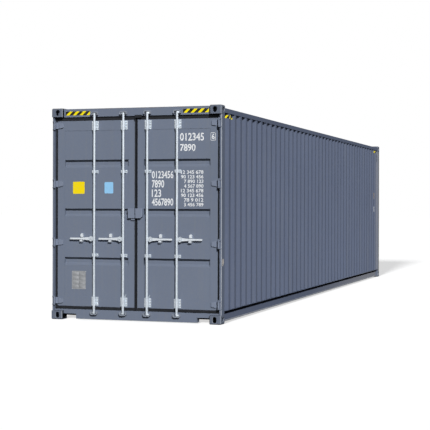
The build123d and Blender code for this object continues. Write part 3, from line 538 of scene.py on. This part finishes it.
def galvanised(name, colour, low_roughness, high_roughness):
    """Zinc coat with crystals and dull, chalky patches."""
    material, tree, shader = new_material(name)
    place = add_node(tree, "TexCoord").outputs["Object"]
    crystals = add_node(tree, "TexVoronoi", {"Vector": place, "Scale": per_metre(15)})
    value = add_node(tree, "SeparateColor", {"Color": crystals.outputs["Color"]})
    tone = add_node(tree, "MapRange", {"Value": value, "To Min": 0.9, "To Max": 1.04})
    tinted = add_node(tree, "VectorMath", {0: linear(colour)[:3], "Scale": tone}, operation="SCALE")
    patches, dull = patchy(tree, place, 160, 5.0, 0.6, 0.5, 0.8, 0.45)
    weathered = add_node(tree, "Mix", {0: dull, 6: tinted, 7: linear("#A9ADAF")}, data_type="RGBA")
    values = (patches, 0.3, 0.7, low_roughness, high_roughness)
    roughness = add_node(tree, "MapRange", dict(zip(RANGE_SOCKETS, values)))
    bump = add_node(tree, "Bump", {"Height": crystals, "Strength": 0.15, "Distance": 0.3 * MM})
    set_inputs(shader, {"Base Color": weathered, "Roughness": roughness, "Normal": bump})
    set_inputs(shader, {"Metallic": 0.6})
    return material


zinc = galvanised("hot dip galvanised steel", "#BFC7CF", 0.42, 0.6)
bright_zinc = galvanised("bright zinc on the brackets", "#D0D8E0", 0.4, 0.55)
handled_zinc = galvanised("zinc rubbed by hands", "#D6DCE2", 0.4, 0.55)
zinc_fastener = galvanised("zinc plated fastener", "#B4BABF", 0.3, 0.45)
print("zinc made")

# %% [markdown]
# The door seals are extruded EPDM rubber: black, matt and slightly dusty. The underside is
# sprayed with a bitumen coat, which is darker and lumpier than the paint above it. Rubber is
# smoother than the render can show, so its grain is drawn three millimetres wide.

# %% EPDM rubber and bitumen coat
def soft_black(name, colour, dust_colour, roughness, grain, depth):
    """A dark coat with dust on it and a grain of this size in millimetres."""
    material, tree, shader = new_material(name)
    place = add_node(tree, "TexCoord").outputs["Object"]
    _, mask = patchy(tree, place, 90, 6.0, 0.65, 0.45, 0.85, 0.4)
    dusty = add_node(
        tree, "Mix", {0: mask, 6: linear(colour), 7: linear(dust_colour)}, data_type="RGBA"
    )
    lumps = add_node(
        tree, "TexNoise",
        {"Vector": place, "Scale": per_metre(grain), "Detail": 4.0, "Roughness": 0.6},
    )
    bump = add_node(tree, "Bump", {"Height": lumps, "Strength": 0.5, "Distance": depth})
    set_inputs(shader, {"Base Color": dusty, "Normal": bump})
    set_inputs(shader, {"Roughness": roughness, "IOR": 1.52, "Specular IOR Level": 0.15})
    return material


rubber = soft_black("EPDM rubber", "#212327", "#3A3D42", 0.8, 3, 0.2 * MM)
bitumen = soft_black("sprayed bitumen coat", "#202225", "#4A4844", 0.62, 14, 1.5 * MM)
print("rubber and bitumen made")

# %% [markdown]
# The floor is hardwood plywood with a clear oil: reddish brown faces with long grain, worn pale
# by pallets and forklift wheels. Noise stretched along the boards gives the grain. Its streaks
# are 900 millimetres long and 14 wide, because real fibres are too fine to show.

# %% Oiled hardwood plywood
plywood, tree, shader = new_material("oiled hardwood plywood")
place = add_node(tree, "TexCoord").outputs["Object"]
along = add_node(
    tree, "Mapping", {"Vector": place, "Scale": (per_metre(900), per_metre(14), per_metre(4))}
)
grain = add_node(
    tree, "TexNoise",
    {"Vector": along, "Scale": 1.0, "Detail": 6.0, "Roughness": 0.65, "Distortion": 0.4},
)
ramp = add_node(tree, "ValToRGB", {"Fac": grain})
for element, position, colour in zip(
    ramp.color_ramp.elements, (0.3, 0.72), ("#5A3826", "#9A6B47")
):
    element.position = position
    element.color = linear(colour)
_, mask = patchy(tree, place, 350, 7.0, 0.7, 0.5, 0.75, 0.5)
worn = add_node(tree, "Mix", {0: mask, 6: ramp, 7: linear("#8F8071")}, data_type="RGBA")
bump = add_node(tree, "Bump", {"Height": grain, "Strength": 0.4, "Distance": 0.5 * MM})
set_inputs(shader, {"Base Color": worn, "Roughness": 0.6, "Normal": bump})
print("plywood made")

# %% [markdown]
# Each node of the frame gets the finish that its part has on a real container. The names say
# what a node is, so a short list of words picks the finish, and plain enamel is the rest.

# %% Give the frame its finishes
finish_words = {
    "corner_castings": casting_enamel, "corner_post": post_enamel, "gasket": rubber,
    "locking_bar": zinc, "_handle": handled_zinc, "catches": bright_zinc,
    "bar_guides": bright_zinc, "door_hinges": fitting_enamel, "lock_box": fitting_enamel,
    "keepers": keeper_enamel, "cross_members": bitumen, "tunnel": bitumen,
    "floor_boards": plywood, "wall": wall_enamel, "roof": wall_enamel,
    "bottom_side_rails": dusty_rail_enamel, "top_side_rails": rail_enamel,
    "door_frame": door_enamel, "door_panel": door_enamel,
}
for name, node in frame["nodes"].items():
    chosen = next((finish for word, finish in finish_words.items() if word in name), frame_enamel)
    node.data.materials.clear()
    node.data.materials.append(chosen)
print("finishes given to", len(frame["nodes"]), "nodes")

# %% [markdown]
# Bolts and rivets sit on flanges that the frame already has. A node can hold many separate
# solids, so its mesh is split into islands, and the box of each island says where its flange is.
# Doubled points are merged first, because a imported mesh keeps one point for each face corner.

# %% Boxes of the separate solids in a node
def box_of(points):
    """Lowest and highest corner of the box round some points."""
    return [Vector([end(p[k] for p in points) for k in range(3)]) for end in (min, max)]


def solids_in(name):
    """Boxes of the separate solids of a node, lowest first."""
    mesh = bmesh.new()
    mesh.from_mesh(frame["nodes"][name].data)
    bmesh.ops.remove_doubles(mesh, verts=mesh.verts[:], dist=0.01 * MM)
    left = set(mesh.verts)
    boxes = []
    while left:
        island, front = [], [left.pop()]
        while front:
            vertex = front.pop()
            island.append(vertex.co.copy())
            others = {edge.other_vert(vertex) for edge in vertex.link_edges} & left
            left -= others
            front += others
        boxes.append(box_of(island))
    mesh.free()
    return sorted(boxes, key=lambda box: (round(box[0].z, 3), box[0].y))


joints = frame["record"]["behaviour"]["joints"]
bar_rows = {j["child"]: j["pos_m"][1] for j in joints if j["name"].endswith("_turn")}
print("bars at", bar_rows)

# %% [markdown]
# A bolt head is a six sided block with a turned chamfer, on a washer. A rivet head is a low
# dome. Both are stacks of prisms whose ends shrink, which costs few faces and rounds well.

# %% Bolt and rivet heads
def add_bolt(mesh, place, across, height):
    """Washer, hexagon and chamfered top, standing on the plane of place."""
    washer = 0.22 * height
    add_prism(mesh, ring(0.72 * across, 16), washer, place)
    above = place @ Matrix.Translation((0, 0, washer))
    add_prism(mesh, ring(0.55 * across, 6), 0.6 * height, above)
    top = above @ Matrix.Translation((0, 0, 0.6 * height))
    add_prism(mesh, ring(0.52 * across, 12), 0.18 * height, top, grow=0.8)


def add_rivet(mesh, place, diameter, height):
    """A low round head in two steps."""
    add_prism(mesh, ring(diameter / 2, 14), 0.55 * height, place, grow=0.88)
    top = place @ Matrix.Translation((0, 0, 0.55 * height))
    add_prism(mesh, ring(0.44 * diameter, 14), 0.45 * height, top, grow=0.45)


# Planes that look away from the door end, and into the container; up is up on both.
OUTWARD = ((0, -1, 0), (0, 0, 1))
INWARD = ((0, 1, 0), (0, 0, 1))
BAR_X = door_end + 28 * MM
BRACKET_FOOT = 6 * MM

for side in ("left", "right"):
    door = side + "_door"
    bolts = bmesh.new()
    collars = {name: bmesh.new() for name in bar_rows if name.startswith(side)}
    for low, high in solids_in(door + "_bar_guides"):
        row = (low.y + high.y) / 2
        offset = 0.375 * (high.y - low.y)
        tall = high.z - low.z > 60 * MM
        for share in (0.18, 0.5, 0.82) if tall else (0.5,):
            level = low.z + share * (high.z - low.z)
            for flange in (-1, 1):
                spot = (high.x - BRACKET_FOOT, row + flange * offset, level)
                add_bolt(bolts, frame_of(spot, *OUTWARD), 15 * MM, 7 * MM)
        if tall:
            level = high.z + 5 * MM if low.z < 1 else low.z - 17 * MM
            name = min(collars, key=lambda bar: abs(bar_rows[bar] - row))
            collar = Matrix.Translation((BAR_X, bar_rows[name], level))
            add_prism(collars[name], ring(22 * MM, 20), 12 * MM, collar)
    finish_piece(bolts, door + "_bracket_bolts", zinc_fastener, door, bevel=0.5 * MM)
    for name, mesh in collars.items():
        finish_piece(mesh, name + "_collars", zinc, name, bevel=1.5 * MM)

# %% [markdown]
# Each handle turns on a rivet that goes through the two ears of its bar. The ears stay with the
# bar, so the rivet rides on the bar and not on the handle. The handle only turns around it.

# %% Handle rivets
EAR_FACE = door_end + 17 * MM

for joint in joints:
    if joint["name"].endswith("_lift"):
        name = joint["parent"]
        spot = (EAR_FACE, joint["pos_m"][1], joint["pos_m"][2])
        rivet = bmesh.new()
        add_rivet(rivet, frame_of(spot, *OUTWARD), 22 * MM, 6 * MM)
        finish_piece(rivet, name + "_handle_rivet", zinc_fastener, name, bevel=0.6 * MM)

# %% [markdown]
# A hinge pin is a rod with a forged head, dropped through the lugs and the blade and welded at
# its lower end. Only the head and the weld show, above and below the lugs.

# %% Hinge pin heads
PIN_X, PIN_Y = door_end + 14 * MM, 1180 * MM

heads = bmesh.new()
for low, high in solids_in("hinge_lugs"):
    for level, up, width, height in ((high.z, 1, 19, 6), (low.z, -1, 17, 4)):
        spot = (PIN_X, math.copysign(PIN_Y, low.y), level)
        add_rivet(heads, frame_of(spot, (1, 0, 0), (0, up, 0)), width * MM, height * MM)
finish_piece(heads, "hinge_pin_heads", frame_enamel, "container", bevel=0.6 * MM)

# %% [markdown]
# The hazard stripes mark the high corners. They are cut from a two colour vinyl film, so the
# stripes belong in the material: the sum of two coordinates, divided by the pitch, repeats once
# for each pair of stripes, and its first part is yellow. Rolled film is smooth, with fine dust.

# %% Vinyl film, striped or plain
STRIPE_PITCH = 100 * MM
YELLOW_SHARE = 0.45


def vinyl_film(name, colour, roughness=0.42, stripes=None):
    """Film of one colour; stripes says how far x, y and z count for yellow ones, and the start."""
    material, tree, shader = new_material(name)
    place = add_node(tree, "TexCoord").outputs["Object"]
    ink = linear(colour)
    if stripes:
        directions = [share / STRIPE_PITCH for share in stripes[:3]]
        phase = add_node(tree, "VectorMath", {0: place, 1: directions}, operation="DOT_PRODUCT")
        phase = add_node(tree, "Math", {0: phase, 1: stripes[3] / STRIPE_PITCH}, operation="ADD")
        phase = add_node(tree, "Math", {0: phase}, operation="FRACT")
        first = add_node(tree, "Math", {0: phase, 1: YELLOW_SHARE}, operation="LESS_THAN")
        ink = add_node(tree, "Mix", {0: first, 6: ink, 7: linear("#F7E300")}, data_type="RGBA")
    _, mask = patchy(tree, place, 35, 6.0, 0.7, 0.5, 0.85, 0.25)
    dusty = add_node(tree, "Mix", {0: mask, 6: ink, 7: linear("#8E8B84")}, data_type="RGBA")
    set_inputs(shader, {"Base Color": dusty, "Roughness": roughness})
    set_inputs(shader, {"IOR": 1.5, "Specular IOR Level": 0.2})
    return material


BLACK = "#141416"
end_stripes = vinyl_film("yellow and black film on the ends", BLACK, 0.4, (0, -1, -1, 3.825))
wall_stripes = vinyl_film("yellow and black film on the walls", BLACK, 0.4, (1, 0, -1, 8.557))
print("striped films, pitch", STRIPE_PITCH, "m")

# %% [markdown]
# On the flat headers the film is a thin plate. On the walls it was pressed into the corrugation,
# so its shape is read from the wall: rays shot at the wall every few millimetres say how deep it
# lies there, and the strip is laid just over those points. Drawing the corrugation again from its
# sizes would work too, but the film would then be wrong as soon as the wall changed. Two small
# plain films near the closed end of the right wall are laid in the same way.

# %% Films on headers and walls
FILM = 0.4 * MM
RAY_STEP = 4 * MM
HEADER_STRIPE = rectangle(360 * MM, 54 * MM)
HEADER_STRIPE_Y, HEADER_STRIPE_Z = 850 * MM, 2827 * MM
WALL_STRIPE_SPANS = ((-5800, -5494), (5392, 5697))
WALL_STRIPE_LEVELS = (2736, 2778)


def wall_film(mesh, side_name, start, end, low, high):
    """Add film that follows a side wall from x start to end and z low to high, in millimetres."""
    start, end, low, high = (value * MM for value in (start, end, low, high))
    wall = frame["nodes"]["side_wall_" + side_name]
    side = -1 if side_name == "right" else 1
    count = int((end - start) / RAY_STEP)
    columns = []
    for index in range(count + 1):
        x = start + (end - start) * index / count
        outside = Vector((x, side * 2, (low + high) / 2))
        found, spot, _, _ = wall.ray_cast(outside, Vector((0, -side, 0)))
        if found:
            inner, outer = spot.y + side * FILM, spot.y + side * 3 * FILM
            around = ((outer, low), (outer, high), (inner, high), (inner, low))
            columns.append([mesh.verts.new((x, y, z)) for y, z in around])
    for one, two in zip(columns, columns[1:]):
        for k in range(4):
            mesh.faces.new((one[k], one[(k + 1) % 4], two[(k + 1) % 4], two[k]))
    mesh.faces.new(columns[0])
    mesh.faces.new(list(reversed(columns[-1])))


header_film = bmesh.new()
for side in (-1, 1):
    for x, thickness in ((header_face - FILM, 0.8 * FILM), (front_face + 0.1 * MM, FILM)):
        place = frame_of((x, side * HEADER_STRIPE_Y, HEADER_STRIPE_Z), *INWARD)
        add_prism(header_film, HEADER_STRIPE, thickness, place)
finish_piece(header_film, "header_stripes", end_stripes, "container")
for side in ("left", "right"):
    film = bmesh.new()
    for span in WALL_STRIPE_SPANS:
        wall_film(film, side, *span, *WALL_STRIPE_LEVELS)
    finish_piece(film, side + "_wall_stripes", wall_stripes, "container")
for name, colour, low, high in (
    ("white_wall_film", "#FFFFFF", 1450, 1560),
    ("amber_wall_film", "#A9873F", 1730, 1860),
):
    film = bmesh.new()
    wall_film(film, "right", 5430, 5590, low, high)
    finish_piece(film, name, vinyl_film(name.replace("_", " "), colour), "container")

# %% [markdown]
# Two squares of film are stuck on the left door, a yellow one and a pale blue one. Cut film has
# round corners, because a sharp corner lifts first.

# %% Plain films on the left door
def rounded_outline(width, height, radius, x=0.0, y=0.0):
    """Outline of a rectangle with round corners."""
    outline = []
    for quarter, sx, sy in ((0, 1, 1), (1, -1, 1), (2, -1, -1), (3, 1, -1)):
        middle = (x + sx * (width / 2 - radius), y + sy * (height / 2 - radius))
        outline += ring(radius, 16, *middle, turn=math.pi / 2 * quarter)[:5]
    return outline


for name, film_name, colour, middle_y, middle_z, width, height in (
    ("yellow_square", "yellow vinyl film", "#F2D70A", 842, 1807, 172, 166),
    ("blue_square", "pale blue vinyl film", "#8FC4EA", 397, 1806, 128, 154),
):
    film = bmesh.new()
    place = frame_of((panel_face - FILM, middle_y * MM, middle_z * MM), *INWARD)
    add_prism(film, rounded_outline(width * MM, height * MM, 14 * MM), 0.8 * FILM, place)
    finish_piece(film, name, vinyl_film(film_name, colour), "left_door")

# %% [markdown]
# Below them sits a bare plate of stamped and etched aluminium. Etched metal is pale and rather
# dull, with the grain that rolling leaves and with stains. Rolling lines are far finer than a
# pixel, so they are drawn one and a half millimetres apart.

# %% Aluminium of the bare plate
aluminium, tree, shader = new_material("etched aluminium")
place = add_node(tree, "TexCoord").outputs["Object"]
rolled = add_node(tree, "Mapping", {"Vector": place, "Scale": (1.0, per_metre(60), per_metre(1.5))})
grain = add_node(tree, "TexNoise", {"Vector": rolled, "Scale": 1.0, "Detail": 3.0})
_, mask = patchy(tree, place, 50, 6.0, 0.5, 0.45, 0.8, 0.5)
colour = add_node(
    tree, "Mix", {0: mask, 6: linear("#95979A"), 7: linear("#6E7073")}, data_type="RGBA"
)
gloss = add_node(tree, "MapRange", {"Value": grain, "To Min": 0.4, "To Max": 0.62})
bump = add_node(tree, "Bump", {"Height": grain, "Strength": 0.3, "Distance": 0.2 * MM})
set_inputs(shader, {"Base Color": colour, "Metallic": 0.7, "Roughness": gloss, "Normal": bump})
print("aluminium made")

# %% [markdown]
# The plate is stamped, so it has raised fields, which stay empty here, in two columns. A rivet
# in each corner holds it to the door.

# %% Bare plate on the left door
PLATE_WIDTH, PLATE_HEIGHT, PLATE_THICKNESS = 206 * MM, 249 * MM, 1.2 * MM
PLATE_SPOT = (panel_face, 838 * MM, 542 * MM)
RIVET_INSET = 7 * MM
# Middle of each row of fields above the plate's own, and the height of its fields.
FIELD_ROWS = ((84, 46), (26, 46), (-32, 46), (-88, 42))

plate, rivets = bmesh.new(), bmesh.new()
back = frame_of(PLATE_SPOT, *OUTWARD)
front = back @ Matrix.Translation((0, 0, PLATE_THICKNESS))
add_prism(plate, rounded_outline(PLATE_WIDTH, PLATE_HEIGHT, 6 * MM), PLATE_THICKNESS, back)
for column in (-1, 1):
    for level, height in FIELD_ROWS:
        field = rounded_outline(84 * MM, height * MM, 3 * MM, column * 46 * MM, level * MM)
        add_prism(plate, field, 0.9 * MM, front, grow=0.97)
    for row in (-1, 1):
        x, y = column * (PLATE_WIDTH / 2 - RIVET_INSET), row * (PLATE_HEIGHT / 2 - RIVET_INSET)
        add_rivet(rivets, front @ Matrix.Translation((x, y, 0)), 9 * MM, 2.5 * MM)
finish_piece(plate, "bare_plate", aluminium, "left_door", bevel=0.3 * MM)
finish_piece(rivets, "bare_plate_rivets", zinc_fastener, "left_door", bevel=0.2 * MM)

# %% [markdown]
# The right door carries rows of white characters. They are cut vinyl, a tenth of a millimetre
# thick. Blender's text object gives their outlines. It becomes a mesh, which is then stretched
# to the size of its row, because such letters are narrow and heavy. Here they only count up.

# %% Counting digits
PANEL_EDGE = -1040
# Characters, left and right end, top and bottom of each row, in millimetres.
LARGE_ROWS = (
    ("012345", -622, -958, 2534, 2429),
    ("6", -1068, -1106, 2518, 2444),
    ("7890", -623, -841, 2387, 2291),
    ("0123456", -225, -530, 2030, 1930),
    ("7890", -225, -400, 1909, 1805),
    ("123", -225, -358, 1783, 1680),
    ("4567890", -225, -530, 1663, 1563),
)
SMALL_ROWS = (
    "12 345 678", "90 123 456", "7 890 123", "4 567 890",
    "12 345 678", "90 123 456", "78 9 012", "3 456 789",
)
SMALL_TOP, SMALL_PITCH, SMALL_HEIGHT = 2036, 61.8, 48
# A thin box stands round the single digit: middle y and z, width and height of its four bars.
BOX_BARS = (
    (-1086.5, 2530, 70, 6), (-1086.5, 2431, 70, 6),
    (-1054.5, 2480.5, 6, 105), (-1118.5, 2480.5, 6, 105),
)


def add_digits(mesh, digits, left, right, top, bottom):
    """Add a row of characters on the right door, stretched to its box in millimetres."""
    text = bpy.data.curves.new("row", "FONT")
    text.body = digits
    text.resolution_u = 3
    text.offset = 0.018
    text.extrude = 0.01
    holder = bpy.data.objects.new("row", text)
    flat = bpy.data.meshes.new_from_object(holder)
    low, high = box_of([v.co for v in flat.vertices])
    size = ((left - right) * MM, (top - bottom) * MM, 0.3 * MM)
    stretch = Matrix.Diagonal([size[k] / (high[k] - low[k]) for k in range(3)] + [1])
    surface = panel_face if right > PANEL_EDGE else leaf_face
    face = frame_of((surface, left * MM, bottom * MM), *OUTWARD)
    flat.transform(face @ stretch @ Matrix.Translation(-low))
    mesh.from_mesh(flat)
    bpy.data.objects.remove(holder)
    bpy.data.curves.remove(text)
    bpy.data.meshes.remove(flat)


digits = bmesh.new()
for row in LARGE_ROWS:
    add_digits(digits, *row)
for index, small in enumerate(SMALL_ROWS):
    top = SMALL_TOP - SMALL_PITCH * index
    left = -638 if len(small) == 10 else -680
    add_digits(digits, small, left, -951, top, top - SMALL_HEIGHT)
for middle_y, middle_z, width, height in BOX_BARS:
    place = frame_of((leaf_face, middle_y * MM, middle_z * MM), *OUTWARD)
    add_prism(digits, rectangle(width * MM, height * MM), 0.3 * MM, place)
white_film = vinyl_film("white vinyl film", "#E4E6E8")
finish_piece(digits, "counting_digits", white_film, "right_door")

# %% [markdown]
# Where the two leaves meet under the header, the seal of the right leaf ends in a moulded rubber
# corner that laps over the gap. It rides on the right leaf, and a block behind it joins the seal.

# %% Rubber corner over the middle gap
CORNER_X, CORNER_THICKNESS = door_end + 38 * MM, 8 * MM
CORNER_OUTLINE = ((15, 2787), (15, 2712), (8, 2712), (8, 2748), (-88, 2748), (-88, 2787))

corner_piece = bmesh.new()
outline = [(y * MM, z * MM) for y, z in CORNER_OUTLINE]
add_prism(corner_piece, outline, CORNER_THICKNESS, frame_of((CORNER_X, 0, 0), *INWARD))
block = rectangle(84 * MM, 17 * MM, -38 * MM, 2758 * MM)
behind = frame_of((CORNER_X + CORNER_THICKNESS, 0, 0), *INWARD)
add_prism(corner_piece, block, 28 * MM, behind)
finish_piece(corner_piece, "gasket_corner", rubber, "right_door", bevel=2 * MM)

# %% [markdown]
# The lowest brackets of the two inner bars each carry a small forked plate, which keeps the bar
# from being lifted out. It is cut from strip, so a flat outline with a thickness is enough.

# %% Forked plates above the lower brackets
FORK_HALF = ((26, 0), (26, 14), (34, 44), (26, 46), (20, 24))
FORK = [(x * MM, y * MM) for x, y in FORK_HALF]
FORK += [(-x, y) for x, y in reversed(FORK)]

for door in ("left_door", "right_door"):
    brackets = [box for box in solids_in(door + "_bar_guides") if abs(box[0].y + box[1].y) < 0.8]
    low, high = min(brackets, key=lambda box: box[0].z)
    place = frame_of((high.x, (low.y + high.y) / 2, high.z), *OUTWARD)
    mesh = bmesh.new()
    add_prism(mesh, FORK, 6 * MM, place)
    finish_piece(mesh, door + "_forked_plate", zinc, door, bevel=0.8 * MM)

# %% [markdown]
# A ventilator lets air in through rows of narrow slots under small hoods, so that rain stays out.
# Each hood is a wedge, and the slot below it is a dark strip on the cover: painted shade where the
# opening would be dark. The strip is black with no gloss, drawn with lumps of six millimetres.

# %% Hoods and slots of the ventilators
HOOD_WIDTH, SLOT_WIDTH, SLOT_HEIGHT = 42 * MM, 38 * MM, 6 * MM
WEDGE = [(x * MM, y * MM) for x, y in ((-0.2, 0), (0.8, 0), (0.8, 2), (-0.2, 9))]

# Painted shade: a matt black strip stands in for each dark slot opening.
painted_slot_shade = soft_black("soot in the ventilator slots", "#0B0B0C", "#1C1B1A", 0.9, 6, 0.2 * MM)
hoods, slots = bmesh.new(), bmesh.new()
for low, high in solids_in("ventilators"):
    side, face_y = (1, high.y) if high.y > 0 else (-1, low.y)
    middle_x = (low.x + high.x) / 2
    for step in range(6):
        level = low.z + (0.16 + 0.136 * step) * (high.z - low.z)
        place = frame_of((middle_x, face_y, level), (side, 0, 0), (0, 0, 1))
        add_prism(slots, rectangle(SLOT_WIDTH, SLOT_HEIGHT), 0.4 * MM, place)
        spot = (middle_x - HOOD_WIDTH / 2, face_y, level + SLOT_HEIGHT / 2)
        add_prism(hoods, WEDGE, HOOD_WIDTH, frame_of(spot, (0, side, 0), (0, 0, 1)))
finish_piece(hoods, "ventilator_hoods", wall_enamel, "container")
finish_piece(slots, "ventilator_slots", painted_slot_shade, "container")

# %% [markdown]
# The boards are screwed to every cross member with self tapping screws, whose heads are driven
# just under the surface. Only thin zinc rings show, in a row over each member.

# %% Floor screws
FIRST_ROW, ROW_PITCH, ROW_COUNT = -5656, 440, 27
COLUMN_PITCH, ODD_SHIFT, EVEN_SHIFT = 225, 60, -45
EDGE_MARGIN = 30 * MM

floor_low, floor_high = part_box("floor_boards")
screws = bmesh.new()
screw_rows = [(FIRST_ROW + ROW_PITCH * k) * MM for k in range(ROW_COUNT)]
screw_rows = [x for x in screw_rows if floor_low.x < x < floor_high.x]
for x in screw_rows:
    for column in range(-5, 6):
        y = (column * COLUMN_PITCH + (ODD_SHIFT if column % 2 else EVEN_SHIFT)) * MM
        if abs(y) <= floor_high.y - EDGE_MARGIN:
            spot = Matrix.Translation((x, y, floor_high.z))
            add_prism(screws, ring(6.5 * MM, 10), 0.4 * MM, spot, grow=0.9)
finish_piece(screws, "floor_screws", zinc_fastener, "container")
print("rows of screws", len(screw_rows))

# %% [markdown]
# At the closed end a flat steel bar covers the joint between the last boards and the sill, so
# that neither light nor water comes in there. It is one bar across the whole width.

# %% Bar over the end of the floor
END_BAR_X, END_BAR_WIDTH, END_BAR_HEIGHT = 6045 * MM, 60 * MM, 18 * MM

end_bar = bmesh.new()
spot = Matrix.Translation((END_BAR_X, 0, floor_high.z))
add_prism(end_bar, rectangle(END_BAR_WIDTH, 2 * floor_high.y), END_BAR_HEIGHT, spot)
finish_piece(end_bar, "floor_end_plate", frame_enamel, "container", bevel=0.8 * MM)

# %% [markdown]
# Sheets and castings are joined by arc welds. A weld bead is a low ridge with fine ripples, laid
# down as the torch moved on, and then painted over. The ripples of a real bead are about two
# millimetres apart, too fine to show, so here cell noise of four millimetres stands for them.

# %% Weld bead enamel
weld_enamel, tree, shader = new_material("grey enamel over weld beads")
place = add_node(tree, "TexCoord").outputs["Object"]
ripples = add_node(tree, "TexVoronoi", {"Vector": place, "Scale": per_metre(4), "Randomness": 0.6})
shade = add_node(tree, "MapRange", {"Value": ripples, "To Min": 0.92, "To Max": 1.06})
tinted = add_node(
    tree, "VectorMath", {0: linear(SHADED_WALL_PAINT)[:3], "Scale": shade}, operation="SCALE"
)
bump = add_node(tree, "Bump", {"Height": ripples, "Strength": 0.6, "Distance": 0.8 * MM})
set_inputs(shader, {"Base Color": tinted, "Normal": bump})
set_inputs(shader, {"Roughness": 0.6, "Specular IOR Level": 0.0})
print("weld enamel made")

# %% [markdown]
# A wall or a roof is welded from several sheets, and each seam lies on a flat that stands out.
# Rays find those flats, so the beads stay right if the corrugation changes. Every fourth flat
# of a wall carries a seam, and every fifth of the roof. The ridge is a low bar with five sides.

# %% Weld beads on walls and roof
BEAD_WIDTH, BEAD_HEIGHT = 7 * MM, 1.6 * MM


def add_bead(mesh, start, end, normal):
    """A low ridge from start to end on a surface with this normal."""
    along = Vector(end) - Vector(start)
    across = Vector(normal).cross(along)
    profile = ((-1, 0), (-0.6, 0.75), (0, 1), (0.6, 0.75), (1, 0))
    outline = [(x * BEAD_WIDTH / 2, y * BEAD_HEIGHT) for x, y in profile]
    add_prism(mesh, outline, along.length, frame_of(start, across, normal))


def crests(sheet, start, outward, span):
    """Middles of the outermost flats that rays meet along a sheet, from x start over the span."""
    outward = Vector(outward)
    hits = []
    for index in range(int(span / RAY_STEP)):
        origin = Vector(start) + Vector((index * RAY_STEP, 0, 0))
        found, spot, _, _ = sheet.ray_cast(origin, -outward)
        hits.append(spot.copy() if found else None)
    highest = max((hit.dot(outward) for hit in hits if hit), default=0)
    middles, run = [], []
    for hit in hits + [None]:
        if hit and hit.dot(outward) > highest - 0.5 * MM:
            run.append(hit)
        elif run:
            middles.append((run[0] + run[-1]) / 2)
            run = []
    return middles


beads = bmesh.new()
for side, name in ((-1, "side_wall_right"), (1, "side_wall_left")):
    middles = crests(frame["nodes"][name], (-5.86, side * 2, 1.4), (0, side, 0), 11.72)
    for spot in middles[3::4]:
        ends = [(spot.x, spot.y, z) for z in (wall_low.z + 8 * MM, wall_high.z - 45 * MM)]
        add_bead(beads, *ends, (0, side, 0))
    print(name, "crests", len(middles))
roof_low, roof_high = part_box("roof_panel")
middles = crests(frame["nodes"]["roof_panel"], (-5.8, 0, 4), (0, 0, 1), 11.6)
for spot in middles[4::5]:
    ends = [(spot.x, y, spot.z) for y in (roof_low.y + 4 * MM, roof_high.y - 4 * MM)]
    add_bead(beads, *ends, (0, 0, 1))
print("roof crests", len(middles))
finish_piece(beads, "sheet_seams", weld_enamel, "container")
